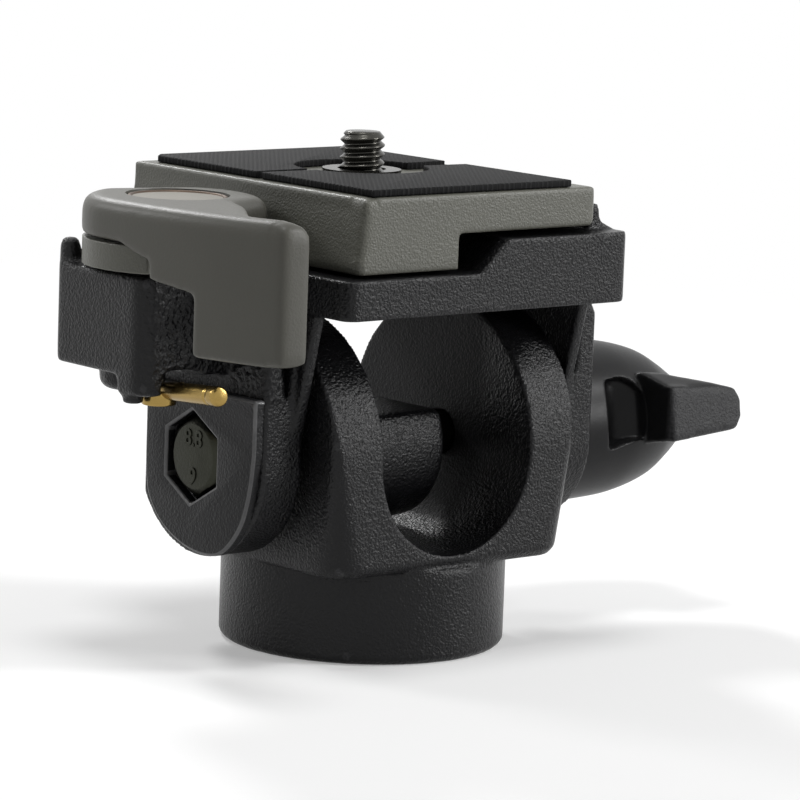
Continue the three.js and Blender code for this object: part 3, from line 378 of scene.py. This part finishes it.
washerPlastic = {"dark": (0.62, 0.59, 0.52), "light": (0.72, 0.7, 0.64), "speck": 0.5, "depth": 0.01,
                 "roughness": 0.5, "spread": 0.1}


def makeWasherFinish():
    look = washerPlastic
    finish = Finish("washer plastic")
    speck = finish.noise(look["speck"])
    return finish.surface(color=finish.mixed(speck, shade(*look["dark"]), shade(*look["light"])),
                          roughness=look["roughness"] + speck * look["spread"],
                          normal=finish.bumped(speck, look["depth"]))


finishes = {name: makeMetalFinish(look) for name, look in metals.items()}
finishes["casting"] = makeCastingFinish()
finishes["lever"] = makeSatinFinish("lever paint", leverPaint)
finishes["plate"] = makeSatinFinish("plate paint", platePaint)
finishes["wornEdge"] = makeSatinFinish("pad rim painted highlight", wornEdge)
finishes["rubber"] = makeRubberFinish()
finishes["knob"] = makePlasticFinish()
finishes["washer"] = makeWasherFinish()
print("finishes made")

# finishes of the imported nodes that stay
nodeFinishes = {
    "steel": ("thread_bush", "thrust_washer", "knob_nut", "knob_spring", "lever_shaft", "lever_spring",
              "lever_washer", "latch_spring", "plunger_spring", "plunger_retainer"),
    "darkSteel": ("knob_screw", "lever_screw", "latch_pin", "screw_clip"),
    "brass": ("release_plunger",),
    "washer": ("left_friction_washer", "right_friction_washer"),
}
for finish, nodes in nodeFinishes.items():
    for node in nodes:
        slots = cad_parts[node].data.materials
        for index in range(len(slots)):
            slots[index] = finishes[finish]
print("inner parts finished")


# mesh helpers; lengths are in millimetres from here on
def addPiece(name, mesh, finish):
    mesh.materials.clear()
    mesh.materials.append(finishes[finish])
    return linked(name, mesh)


def meshOf(thing):
    bpy.context.view_layer.update()
    graph = bpy.context.evaluated_depsgraph_get()
    return bpy.data.meshes.new_from_object(thing.evaluated_get(graph))


def applied(piece, *steps):
    # adds the modifiers, then keeps the mesh that they give, with the piece's own materials
    for kind, settings in steps:
        modifier = piece.modifiers.new(kind.lower(), kind)
        for key, value in settings.items():
            setattr(modifier, key, value)
    mesh = meshOf(piece)
    piece.modifiers.clear()
    old = piece.data
    materials = [slot.material for slot in piece.material_slots]
    piece.data = mesh
    mesh.name = piece.name
    used = np.zeros(len(mesh.polygons), np.int32)
    mesh.polygons.foreach_get("material_index", used)
    mesh.materials.clear()
    for material in materials:
        mesh.materials.append(material)
    mesh.polygons.foreach_set("material_index", np.minimum(used, len(materials) - 1))
    bpy.data.meshes.remove(old)
    return piece


def smoothing(rounds, **more):
    return ("SMOOTH", {"factor": 0.5, "iterations": rounds, **more})


def smoothShaded(piece):
    piece.data.polygons.foreach_set("use_smooth", [True] * len(piece.data.polygons))
    return piece


def sharpened(piece, degrees):
    # smooth shading that breaks where two faces turn by more than this
    smoothShaded(piece)
    return applied(piece, ("EDGE_SPLIT", {"split_angle": math.radians(degrees)}))


def rimmed(piece, rim, material=-1):
    # a narrow round along the edges that are sharper than a given angle
    applied(piece, ("BEVEL", {"width": rim["width"] * mm, "segments": rim["segments"],
                              "limit_method": "ANGLE", "angle_limit": math.radians(rim["sharper"]),
                              "material": material}))
    return sharpened(piece, rim["split"])


def cast(piece, voxel, rounds):
    applied(piece, ("REMESH", {"mode": "VOXEL", "voxel_size": voxel * mm}), smoothing(rounds))
    return smoothShaded(piece)


def filled(name, finish, fill):
    # a new piece from whatever fill puts into an empty mesh
    work = bmesh.new()
    fill(work)
    mesh = bpy.data.meshes.new(name)
    work.to_mesh(mesh)
    work.free()
    return addPiece(name, mesh, finish)


def copied(name, node, finish):
    def fill(work):
        work.from_mesh(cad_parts[node].data)
        bmesh.ops.remove_doubles(work, verts=work.verts, dist=tiny)
    return filled(name, finish, fill)


def built(name, finish, make):
    def fill(work):
        make(work)
        bmesh.ops.recalc_face_normals(work, faces=work.faces)
    return filled(name, finish, fill)


def cutBy(piece, make):
    tool = built("cutter", "steel", make)
    applied(piece, ("BOOLEAN", {"operation": "DIFFERENCE", "solver": "EXACT", "object": tool}))
    bpy.data.objects.remove(tool)
    return piece


def places(piece):
    flat = np.empty(len(piece.data.vertices) * 3, np.float32)
    piece.data.vertices.foreach_get("co", flat)
    return flat.reshape(-1, 3).astype(float) / mm


def setPlaces(piece, points):
    piece.data.vertices.foreach_set("co", (points * mm).astype(np.float32).ravel())
    piece.data.update()


def softened(piece, rounds, lows, highs):
    # smooths further where the places lie between the two corners
    points = places(piece)
    held = np.all((points > np.array(lows)) & (points < np.array(highs)), axis=1)
    group = piece.vertex_groups.new(name="soft")
    group.add([int(i) for i in np.nonzero(held)[0]], 1.0, "REPLACE")
    applied(piece, smoothing(rounds, vertex_group="soft"))
    piece.vertex_groups.clear()


def snapRound(piece, axis, centre, radius, ranges=None, reach=0.16, fade=0.6):
    # facets near a true cylinder are pushed onto it, so that no flat shows
    points = places(piece)
    first, second = [i for i in range(3) if i != axis]
    across = points[:, [first, second]] - np.array([centre[first], centre[second]])
    distance = np.hypot(across[:, 0], across[:, 1])
    share = np.clip((reach - np.abs(distance - radius)) / (reach * 0.5), 0, 1)
    for index, (low, high) in (ranges or {}).items():
        share *= np.clip((points[:, index] - low) / fade, 0, 1)
        share *= np.clip((high - points[:, index]) / fade, 0, 1)
    grown = 1 + share * (radius / np.maximum(distance, tiny) - 1)
    points[:, first] = centre[first] + across[:, 0] * grown
    points[:, second] = centre[second] + across[:, 1] * grown
    setPlaces(piece, points)


def rectangle(left, low, right, high):
    return [(left, low), (right, low), (right, high), (left, high)]


def rod(radius, low, high):
    # profile of a plain round bar, for turnInto
    return [(0, low), (radius, low), (radius, high), (0, high)]


def prismInto(work, outline, axis, low, high):
    # the outline lies in YZ for axis x, or in XY for axis z
    put = {"x": lambda a, b, h: (h, a, b), "z": lambda a, b, h: (a, b, h)}[axis]
    first, second = ([work.verts.new(Vector(put(a, b, h)) * mm) for a, b in outline] for h in (low, high))
    work.faces.new(first)
    work.faces.new(list(reversed(second)))
    for i in range(len(outline)):
        j = (i + 1) % len(outline)
        work.faces.new((first[i], second[i], second[j], first[j]))


def turnInto(work, profile, axis, centre, sides=64):
    # a closed turned body from [radius, height] points that start and end on the axis or meet
    put = {"x": lambda c, s, h: (h, c, s), "z": lambda c, s, h: (c, s, h)}[axis]
    angles = [2 * math.pi * i / sides for i in range(sides)]
    rings = []
    for radius, height in profile:
        spots = [(radius * math.cos(angle), radius * math.sin(angle)) for angle in angles]
        if radius < tiny:
            spots = [(0, 0)]
        rings.append([work.verts.new((Vector(centre) + Vector(put(c, s, height))) * mm) for c, s in spots])
    for low, high in zip(rings, rings[1:]):
        for i in range(sides):
            j = (i + 1) % sides
            corners = [low[i % len(low)], low[j % len(low)], high[j % len(high)], high[i % len(high)]]
            kept = [corner for k, corner in enumerate(corners) if corner not in corners[:k]]
            if len(kept) > 2:
                work.faces.new(kept)


def settled(piece, body, slot, *nodes):
    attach(piece, body)
    if nodes:
        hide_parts(*nodes)


# base casting: foot, two ears and saddle
base = {"voxel": 0.36, "rounds": 7, "pivot": 28.7, "foot": 20.5, "footLow": 0.5, "footHigh": 12.7,
        "ear": 20.17, "earTop": 99, "saddle": 13.5, "saddleLeft": 6.5, "saddleRight": 20}
# its boss is made fuller, with a lower flat top; start and end are along X
boss = {"start": -14.5, "end": 5.5, "radius": 11.3, "core": 8, "turn": 1.2, "turnShare": 0.3, "top": 34.1,
        "sides": 96, "cutStart": -13.3, "cutHalf": 14, "cutTop": 46, "past": 2,
        "rounds": 26, "softFrom": (-12.6, -13, 14), "softTo": (6.5, 13, 35.1)}
pivot = (0, 0, base["pivot"])


def bossRing(work):
    start, end, wide, core, turn = (boss[key] for key in ("start", "end", "radius", "core", "turn"))
    share = turn * boss["turnShare"]
    turnInto(work, [(core, start), (wide, start), (wide, end - turn), (wide - share, end - share),
                    (wide - turn, end), (core, end), (core, start)], "x", pivot, boss["sides"])


def bossCut(start):
    outline = rectangle(-boss["cutHalf"], boss["top"], boss["cutHalf"], boss["cutTop"])
    return lambda work: prismInto(work, outline, "x", start, boss["end"] + boss["past"])


def makeBase():
    piece = cutBy(copied("base_casting", "base_yoke", "casting"), bossCut(boss["cutStart"]))
    ring = cutBy(built("boss", "casting", bossRing), bossCut(boss["start"] - boss["past"]))
    both = bmesh.new()
    both.from_mesh(piece.data)
    both.from_mesh(ring.data)
    both.to_mesh(piece.data)
    both.free()
    bpy.data.objects.remove(ring)
    cast(piece, base["voxel"], base["rounds"])
    softened(piece, boss["rounds"], boss["softFrom"], boss["softTo"])
    snapRound(piece, 2, (0, 0, 0), base["foot"], {2: (base["footLow"], base["footHigh"])})
    snapRound(piece, 0, pivot, base["ear"], {2: (base["pivot"], base["earTop"])})
    snapRound(piece, 1, pivot, base["saddle"], {
        2: (0, base["pivot"]), 0: (base["saddleLeft"], base["saddleRight"])})
    settled(piece, "base", "casting", "base_yoke")


makeBase()
print("base made")

# raised pad on the left leg's face, a crisp piece of its own; its edge is given in Y and Z
legPad = {
    "face": -31.73, "root": -29.8, "steps": 6, "hex": 11.4, "hexFrom": -40, "hexTo": -20,
    "rim": {"width": 0.4, "segments": 3, "sharper": 40, "split": 50},
    "edge": ((10.6, 38.5), (10.6, 32), (10.5, 26), (9.6, 21.7), (6.4, 18.2), (1.5, 16.0), (-3.7, 15.4),
             (-7.6, 16.4), (-11.2, 20.1), (-13.0, 24.4), (-14.0, 30), (-14.1, 34), (-14.1, 38.5)),
}
# tilting platform: the casting's own pad is cut back, and the legs end a little higher
platform = {
    "voxel": 0.33, "rounds": 6, "leg": 14.5, "legInner": 22.9, "legShare": 0.965,
    "legFace": -30.3, "cutFrom": -40, "cut": (-16, 10, 16, 38.5),
    "housingRounds": 22, "housingFrom": (-50, -30, 38), "housingTo": (-27, 30, 58),
}


def curveThrough(points, steps):
    # a smooth line through the given places
    rows = [np.array(p, float) for p in points]
    rows = [rows[0] * 2 - rows[1], *rows, rows[-1] * 2 - rows[-2]]
    line = []
    for a, b, c, d in zip(rows, rows[1:], rows[2:], rows[3:]):
        for i in range(steps):
            t = i / steps
            bow = (2 * a - 5 * b + 4 * c - d) * t ** 2 + (3 * b - a - 3 * c + d) * t ** 3
            line.append(tuple(0.5 * (2 * b + (c - a) * t + bow)))
    return line + [tuple(rows[-2])]


def hexagon(across, centreY, centreZ):
    reach = across / 2 / math.cos(math.pi / 6)
    return [(centreY + reach * math.sin(math.pi * i / 3), centreZ + reach * math.cos(math.pi * i / 3))
            for i in range(6)]


def makeLegPad():
    outline = curveThrough(legPad["edge"], legPad["steps"])
    piece = built("leg_pad_face", "casting",
                  lambda work: prismInto(work, outline, "x", legPad["face"], legPad["root"]))
    recess = hexagon(legPad["hex"], 0, base["pivot"])
    cutBy(piece, lambda work: prismInto(work, recess, "x", legPad["hexFrom"], legPad["hexTo"]))
    # the pad's rounded rim takes the pale finish, a painted highlight
    piece.data.materials.append(finishes["wornEdge"])
    rimmed(piece, legPad["rim"], material=1)
    settled(piece, "tilting_platform", "casting")


def makePlatform():
    piece = copied("platform_casting", "platform", "casting")
    cutBy(piece, lambda work: prismInto(work, rectangle(*platform["cut"]), "x",
                                        platform["cutFrom"], platform["legFace"]))
    cast(piece, platform["voxel"], platform["rounds"])
    softened(piece, platform["housingRounds"], platform["housingFrom"], platform["housingTo"])
    snapRound(piece, 0, pivot, platform["leg"], {2: (0, base["pivot"])})
    points = places(piece)
    ends = (np.abs(points[:, 0]) > platform["legInner"]) & (points[:, 2] < base["pivot"])
    points[ends, 2] = base["pivot"] - (base["pivot"] - points[ends, 2]) * platform["legShare"]
    setPlaces(piece, points)
    settled(piece, "tilting_platform", "casting", "platform")


makeLegPad()
makePlatform()
print("platform made")

# clamp lever: hub, bowed arm and the paddle that hangs from it
lever = {
    "x": -35.5, "y": -0.35, "top": 65.5, "low": 59.9, "turn": 2.1, "layers": 8, "steps": 28,
    "rightRadius": 12.26, "leftRadius": 12.98, "right": (-42, 40), "left": (112, 180),  # arcs in degrees
    "bow": 96, "thick": 4.6, "reach": 33.1, "web": 23.5, "webStep": 0.35,
    "notch": ((15.2, 272), (10.5, 285), (11.0, 305)),  # radius and degrees
    # places along Y with the lowest height there
    "skirt": ((-3.5, 60.2), (-5.2, 59.7), (-6.6, 59.0), (-10.6, 58.1)), "skirtThick": 2.2,
    "strip": ((-10.4, 55.6), (-19.0, 54.5)), "blade": ((-18.7, 46.1),), "inside": 62.1, "slices": 12,
    "voxel": 0.32, "rounds": 26, "endRounds": 40, "endFrom": (-60, -40, 40), "endTo": (-20, -30.5, 70),
    "hole": 3.3, "cavity": 5, "cavityLow": 61.9, "seat": 7.0, "seatLow": 64.5, "seatSlope": 0.35,
    "past": 1, "sides": 96,
}
leverCentre = (lever["x"], lever["y"], 0)


def leverPolar(radius, degrees):
    angle = math.radians(degrees)
    return (lever["x"] + radius * math.cos(angle), lever["y"] + radius * math.sin(angle))


def leverArc(radius, first, last):
    steps = lever["steps"]
    return [leverPolar(radius, first + (last - first) * i / steps) for i in range(steps + 1)]


def leverBow(radius, y):
    middle = lever["x"] - lever["leftRadius"] + lever["bow"]
    return (middle - math.sqrt(radius ** 2 - (y - lever["y"]) ** 2), y)


def slab(work, edge, thick):
    # a bowed wall whose lower edge follows the given places and heights
    start, end = edge[0][0], edge[-1][0]
    rows = []
    for i in range(lever["slices"] + 1):
        y = start + (end - start) * i / lever["slices"]
        low = np.interp(-y, [-place for place, height in edge], [height for place, height in edge])
        outer, inner = leverBow(lever["bow"], y)[0], leverBow(lever["bow"] - thick, y)[0]
        rows.append([work.verts.new(Vector((x, y, z)) * mm) for x, z in (
            (outer, low), (inner, low), (inner, lever["inside"]), (outer, lever["inside"]))])
    work.faces.new(rows[0])
    work.faces.new(list(reversed(rows[-1])))
    for near, far in zip(rows, rows[1:]):
        for i in range(4):
            j = (i + 1) % 4
            work.faces.new((near[i], near[j], far[j], far[i]))


def leverOutline(inset):
    # the hub's two arcs, the bowed front edge, the arm's end and the notch behind the hub
    right = leverArc(lever["rightRadius"] - inset, *lever["right"])
    left = leverArc(lever["leftRadius"] - inset, *lever["left"])
    length = inset - lever["reach"] - lever["y"]
    ys = [lever["y"] + length * i / lever["steps"] for i in range(lever["steps"] + 1)]
    outer = [leverBow(lever["bow"] - inset, y) for y in ys]
    innerBow = lever["bow"] - lever["thick"] + inset
    web = -lever["web"] - inset
    inner = [leverBow(innerBow, y) for y in reversed(ys) if y < web - lever["webStep"]]
    inner.append(leverBow(innerBow, web))
    notch = [leverPolar(radius - inset, degrees) for radius, degrees in lever["notch"]]
    return right + left + outer[1:] + inner + notch


def fillLever(work):
    # layers that shrink towards the top round its rim
    for layer in range(lever["layers"] + 1):
        angle = math.pi / 2 * layer / lever["layers"]
        prismInto(work, leverOutline(lever["turn"] * (1 - math.cos(angle))), "z", lever["low"],
                  lever["top"] - lever["turn"] * (1 - math.sin(angle)))
    slab(work, lever["skirt"], lever["skirtThick"])
    for edge in (lever["strip"], lever["blade"]):
        slab(work, (*edge, (-lever["reach"], edge[-1][1])), lever["thick"])


def fillHollow(work):
    # screw hole, cavity for the screw's head and seat for the cap, in one turned cutter
    low, top = lever["low"] - lever["past"], lever["top"] + lever["past"]
    turnInto(work, [(0, low), (lever["hole"], low), (lever["hole"], lever["cavityLow"]),
                    (lever["cavity"], lever["cavityLow"]), (lever["cavity"], lever["seatLow"]),
                    (lever["seat"], lever["seatLow"]), (lever["seat"] + lever["seatSlope"], top), (0, top)],
             "z", leverCentre, lever["sides"])


def makeLever():
    piece = cast(built("clamp_lever_paddle", "lever", fillLever), lever["voxel"], lever["rounds"])
    softened(piece, lever["endRounds"], lever["endFrom"], lever["endTo"])
    cutBy(piece, fillHollow)
    settled(piece, "lever", "lever_paint", "clamp_lever")


# the lever's cap: a shallow dish with a raised ring round it, as radii and heights
cap = {"profile": ((0, 64.6), (6.5, 64.6), (6.85, 64.8), (6.9, 65.1), (6.8, 65.3), (6.55, 65.36),
                   (6.35, 65.28), (6.25, 65.12), (0, 65.12)), "ringFrom": 6.2, "sides": 96, "split": 50}


def makeCap():
    piece = built("lever_cap_disc", "capMetal",
                  lambda work: turnInto(work, cap["profile"], "z", leverCentre, cap["sides"]))
    # the raised ring takes the darker brown finish, painted shade of the recess wall
    piece.data.materials.append(finishes["capRingShade"])
    for face in piece.data.polygons:
        across = math.hypot(face.center.x / mm - lever["x"], face.center.y / mm - lever["y"])
        face.material_index = 1 if across > cap["ringFrom"] else 0
    sharpened(piece, cap["split"])
    settled(piece, "lever", "cap_metal", "lever_cap")


# cam under the hub
cam = {"voxel": 0.24, "rounds": 7, "radius": 12.9, "reach": 0.3}


def makeCam():
    piece = cast(copied("lever_cam_body", "lever_cam", "plate"), cam["voxel"], cam["rounds"])
    snapRound(piece, 2, leverCentre, cam["radius"], reach=cam["reach"])
    settled(piece, "lever", "plate_paint", "lever_cam")


makeLever()
makeCap()
makeCam()
print("lever made")

# quick-release plate, with its front left corner softer, and its two pads
plate = {"voxel": 0.3, "rounds": 9, "cornerRounds": 60, "corner": 3.5, "cornerLow": 2, "past": 1}
padRim = {"width": 0.22, "segments": 3, "sharper": 50, "split": 35}


def makePlate():
    piece = cast(copied("plate_casting", "quick_release_plate", "plate"), plate["voxel"], plate["rounds"])
    lowest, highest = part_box("quick_release_plate")
    left, front, bottom = (value / mm for value in lowest)
    top, past, corner = highest.z / mm, plate["past"], plate["corner"]
    softened(piece, plate["cornerRounds"], (left - past, front - past, bottom + plate["cornerLow"]),
             (left + corner, front + corner, top + past))
    settled(piece, "plate", "plate_paint", "quick_release_plate")


def makePad(node):
    piece = rimmed(copied(node + "_rubber", node, "rubber"), padRim)
    settled(piece, "plate", "rubber", node)


makePlate()
makePad("front_pad")
makePad("rear_pad")
print("plate made")

# camera screw, with a true thread; radii and heights in millimetres
screw = {
    "x": -1.47, "y": 1.62, "radius": 3.175, "root": 2.6, "pitch": 1.27, "low": 64.6, "tip": 72.88,
    "rootShare": 0.1, "flankShare": 0.76, "chamfer": 0.75, "chamferSlope": 0.9, "sides": 72, "levels": 14,
    "head": 6.4, "headLow": 62.94, "headTop": 64.64, "lowEdge": (0.5, 0.4), "topEdge": (0.2, 0.2),
    "slot": (-9, 1.02, 6, 2.22), "slotDepth": 0.85, "past": 1, "threadSplit": 50, "headSplit": 35,
}


def threadRadius(angle, z):
    # the crest follows a helix, and fades into the chamfer at the tip
    phase = (z / screw["pitch"] - angle / (2 * math.pi)) % 1
    flank = min(1, max(0, (abs(phase - 0.5) * 2 - screw["rootShare"]) / screw["flankShare"]))
    radius = screw["root"] + (screw["radius"] - screw["root"]) * flank
    return min(radius, screw["radius"] - screw["chamfer"] + (screw["tip"] - z) * screw["chamferSlope"])


def fillThread(work):
    sides, length = screw["sides"], screw["tip"] - screw["low"]
    count = int(length / (screw["pitch"] / screw["levels"]))
    rings = []
    for level in range(count + 1):
        z = screw["low"] + length * level / count
        ring = []
        for i in range(sides):
            angle = 2 * math.pi * i / sides
            radius = threadRadius(angle, z)
            ring.append(work.verts.new(Vector((screw["x"] + radius * math.cos(angle),
                                               screw["y"] + radius * math.sin(angle), z)) * mm))
        rings.append(ring)
    for low, high in zip(rings, rings[1:]):
        for i in range(sides):
            j = (i + 1) % sides
            work.faces.new((low[i], low[j], high[j], high[i]))
    work.faces.new(rings[0])
    work.faces.new(rings[-1])


def fillHead(work):
    wide, low, top = screw["head"], screw["headLow"], screw["headTop"]
    (lowIn, lowUp), (topIn, topDown) = screw["lowEdge"], screw["topEdge"]
    turnInto(work, [(0, low), (wide - lowIn, low), (wide, low + lowUp), (wide, top - topDown),
                    (wide - topIn, top), (0, top)], "z", (screw["x"], screw["y"], 0), screw["sides"])


def makeScrew():
    thread = sharpened(built("camera_screw_thread", "darkSteel", fillThread), screw["threadSplit"])
    settled(thread, "screw", "black_oxide")
    head = built("camera_screw_head", "darkSteel", fillHead)
    cutBy(head, lambda work: prismInto(work, rectangle(*screw["slot"]), "z", screw["headLow"] - screw["past"],
                                       screw["headLow"] + screw["slotDepth"]))
    sharpened(head, screw["headSplit"])
    settled(head, "screw", "black_oxide", "camera_screw")


makeScrew()
print("screw made")

# pivot bolt, with plain strength numbers on its head: each has its text and its height over the axis
bolt = {
    "rim": {"width": 0.2, "segments": 2, "sharper": 28, "split": 30},
    "face": -31.3, "size": 3.3, "relief": 0.2, "softEdge": 0.07, "high": ("8.8", 2.5), "low": ("6", -2.6),
}


def makeBolt():
    piece = rimmed(copied("pivot_bolt_steel", "pivot_bolt", "boltHead"), bolt["rim"])
    settled(piece, "tilting_platform", "black_oxide", "pivot_bolt")


def makeBoltMark(place):
    text, height = bolt[place]
    curve = bpy.data.curves.new("mark", "FONT")
    curve.body = text
    curve.size = bolt["size"] * mm
    curve.extrude = bolt["relief"] * mm / 2
    curve.bevel_depth = bolt["softEdge"] * mm
    curve.align_x = "CENTER"
    curve.align_y = "CENTER"
    letters = linked("mark", curve)
    mesh = meshOf(letters)
    bpy.data.objects.remove(letters)
    turn = Matrix(((0, 0, -1, 0), (-1, 0, 0, 0), (0, 1, 0, 0), (0, 0, 0, 1)))  # faces -X, reads along -Y
    if place == "low":
        turn = Matrix.Rotation(math.pi, 4, "X") @ turn  # stands on its head
    mesh.transform(Matrix.Translation(Vector((bolt["face"], 0, base["pivot"] + height)) * mm) @ turn)
    piece = addPiece("bolt_mark_" + place, mesh, "boltHead")
    settled(piece, "tilting_platform", "black_oxide")


makeBolt()
makeBoltMark("high")
makeBoltMark("low")
print("bolt made")

# tilt knob: its body is brought onto a smooth bell, given as shares of its length and radius
knob = {
    "start": 31, "length": 28.6, "radius": 12, "voxel": 0.3, "rounds": 22, "lastRounds": 3,
    "profile": ((0, 1), (0.25, 0.992), (0.45, 0.958), (0.66, 0.84), (0.8, 0.675), (0.93, 0.49), (1, 0.415)),
    "from": 0.04, "to": 0.97, "near": 0.5, "fade": 0.25, "steps": 200,
    "wingRounds": 30, "wingFrom": (49, -60, 0), "wingTo": (70, -10, 60),
}


def knobRadiusAt(along):
    # a smooth curve through the profile; the slope at each point comes from its two neighbours
    shares, radii = zip(*knob["profile"])
    last = len(shares) - 1
    span = max(0, min(last - 1, int(np.searchsorted(shares, along, side="right")) - 1))
    before, after = max(0, span - 1), min(last, span + 2)
    width = shares[span + 1] - shares[span]
    t = (along - shares[span]) / width
    slopeA = (radii[span + 1] - radii[before]) / (shares[span + 1] - shares[before]) * width
    slopeB = (radii[after] - radii[span]) / (shares[after] - shares[span]) * width
    a, b = radii[span], radii[span + 1]
    return (2 * t ** 3 - 3 * t ** 2 + 1) * a + (t ** 3 - 2 * t ** 2 + t) * slopeA + (
        3 * t ** 2 - 2 * t ** 3) * b + (t ** 3 - t ** 2) * slopeB


def makeKnob():
    piece = cast(copied("tilt_knob_moulding", "tilt_knob", "knob"), knob["voxel"], knob["rounds"])
    points = places(piece)
    steps = knob["steps"]
    along = np.clip((points[:, 0] - knob["start"]) / knob["length"], 0, 1)
    bell = np.array([knobRadiusAt(i / steps) for i in range(steps + 1)]) * knob["radius"]
    target = np.interp(along, np.linspace(0, 1, steps + 1), bell)
    across = points[:, 1:] - np.array([0, base["pivot"]])
    distance = np.hypot(across[:, 0], across[:, 1])
    share = np.clip((knob["near"] - np.abs(distance - target)) / knob["fade"], 0, 1)
    share *= (along < knob["to"]) * (along > knob["from"])
    grown = 1 + share * (target / np.maximum(distance, tiny) - 1)
    points[:, 1] = across[:, 0] * grown
    points[:, 2] = across[:, 1] * grown + base["pivot"]
    setPlaces(piece, points)
    softened(piece, knob["wingRounds"], knob["wingFrom"], knob["wingTo"])
    applied(piece, smoothing(knob["lastRounds"]))
    smoothShaded(piece)
    settled(piece, "knob", "knob_plastic", "tilt_knob")


makeKnob()
print("knob made")

# brass latch: a hub and neck on a pin, and a rod that stands out from them
latch = {
    "x": -39.3, "y": -2.4, "hub": 2.4, "hubLow": 37, "hubHigh": 38.7, "neck": 1.5, "neckLow": 37.4,
    "neckHigh": 39.6, "pin": 1.1, "past": 1, "sides": 32, "voxel": 0.12, "rounds": 7,
    "turn": -95, "lift": 4.5, "rodLow": 39.1, "rodSides": 48,  # turn and lift in degrees
    # radius and place along the rod, with the groove near its end
    "rod": ((0, -0.2), (0.7, -0.2), (1.0, 1.2), (1.2, 3), (1.34, 5.2), (1.36, 8), (1.36, 13.1), (1.24, 13.35),
            (1.24, 13.55), (1.38, 13.8), (1.4, 15.1), (1.25, 15.45), (1.0, 15.55), (0, 15.65)),
}
latchCentre = (latch["x"], latch["y"], 0)


def fillLatch(work):
    turnInto(work, rod(latch["hub"], latch["hubLow"], latch["hubHigh"]), "z", latchCentre)
    turnInto(work, rod(latch["neck"], latch["neckLow"], latch["neckHigh"]), "z", latchCentre)
    known = set(work.verts)
    turnInto(work, latch["rod"], "x", (0, 0, 0), latch["rodSides"])
    turn = Matrix.Rotation(math.radians(latch["turn"]), 4, "Z")
    lift = Matrix.Rotation(-math.radians(latch["lift"]), 4, "Y")
    put = Matrix.Translation(Vector((latch["x"], latch["y"], latch["rodLow"])) * mm)
    bmesh.ops.transform(work, verts=[vert for vert in work.verts if vert not in known],
                        matrix=put @ (turn @ lift))


def makeLatch():
    piece = cast(built("safety_latch_brass", "brass", fillLatch), latch["voxel"], latch["rounds"])
    hole = rod(latch["pin"], latch["hubLow"] - latch["past"], latch["neckHigh"] + latch["past"])
    cutBy(piece, lambda work: turnInto(work, hole, "z", latchCentre, latch["sides"]))
    settled(piece, "latch", "brass", "safety_latch")


makeLatch()
print("latch made")

# floor, background and lamps; plainFrom and plainTo are in millimetres, the lamps in metres and watts
studio = {
    "floor": (0.8, 0.8, 0.8), "floorHalf": 4, "glow": 0.25, "plainFrom": 110, "plainTo": 420,
    "worldDiffuse": 0.15,
    "lamps": (
        {"azimuth": 44, "elevation": 13, "distance": 0.8, "size": 0.24, "power": 2.3},
        {"azimuth": 50, "elevation": 36, "distance": 0.8, "size": 0.15, "power": 2.3},
        {"azimuth": -146, "elevation": 30, "distance": 0.8, "size": 0.16, "power": 1.3},
        {"azimuth": -50, "elevation": 80, "distance": 0.8, "size": 0.22, "power": 2.0},
        {"azimuth": 166, "elevation": 40, "distance": 0.8, "size": 0.14, "power": 2.4},
    ),
}
white = shade(1, 1, 1)


def makeFloor():
    # it glows near the object and turns plain white further off, but only where it is seen
    finish = Finish("floor")
    x, y = finish.place()[:2]
    far = ramp((x * x + y * y) ** 0.5, studio["plainFrom"], studio["plainTo"])
    plain = finish.node("ShaderNodeBsdfDiffuse", {}, {"Color": shade(*studio["floor"])})
    glow = finish.node("ShaderNodeEmission", {}, {"Color": white, "Strength": studio["glow"]})
    bright = finish.node("ShaderNodeEmission", {}, {"Color": white, "Strength": 1.0})
    near = finish.node("ShaderNodeAddShader", {}, {0: plain, 1: glow})
    lit = finish.node("ShaderNodeMixShader", {}, {0: far, 1: near, 2: bright})
    finish.output("ShaderNodeOutputMaterial", finish.node("ShaderNodeMixShader", {}, {
        0: finish.seen(), 1: plain, 2: lit}))
    half = studio["floorHalf"]
    mesh = bpy.data.meshes.new("floor")
    mesh.from_pydata([(*corner, 0) for corner in rectangle(-half, -half, half, half)], [], [(0, 1, 2, 3)])
    mesh.materials.append(finish.material)
    linked("floor", mesh)


def makeWorld():
    # white to the camera and in reflections, much darker as a light
    world = bpy.data.worlds.new("world")
    bpy.context.scene.world = world
    sky = Nodes(world)
    strength = sky.seen() * (1 - studio["worldDiffuse"]) + studio["worldDiffuse"]
    sky.output("ShaderNodeOutputWorld", sky.node("ShaderNodeBackground", {}, {
        "Color": white, "Strength": strength}))


def makeLamps():
    for index, look in enumerate(studio["lamps"]):
        data = bpy.data.lights.new(f"lamp{index}", "AREA")
        data.shape = "DISK"
        data.size = look["size"]
        data.energy = look["power"]
        lamp = linked(f"lamp{index}", data)
        away = outwards(look["azimuth"], look["elevation"])
        lamp.location = Vector(view["target"]) + away * look["distance"]
        lamp.rotation_euler = away.to_track_quat("Z", "Y").to_euler()


makeFloor()
makeWorld()
makeLamps()
print("studio made")
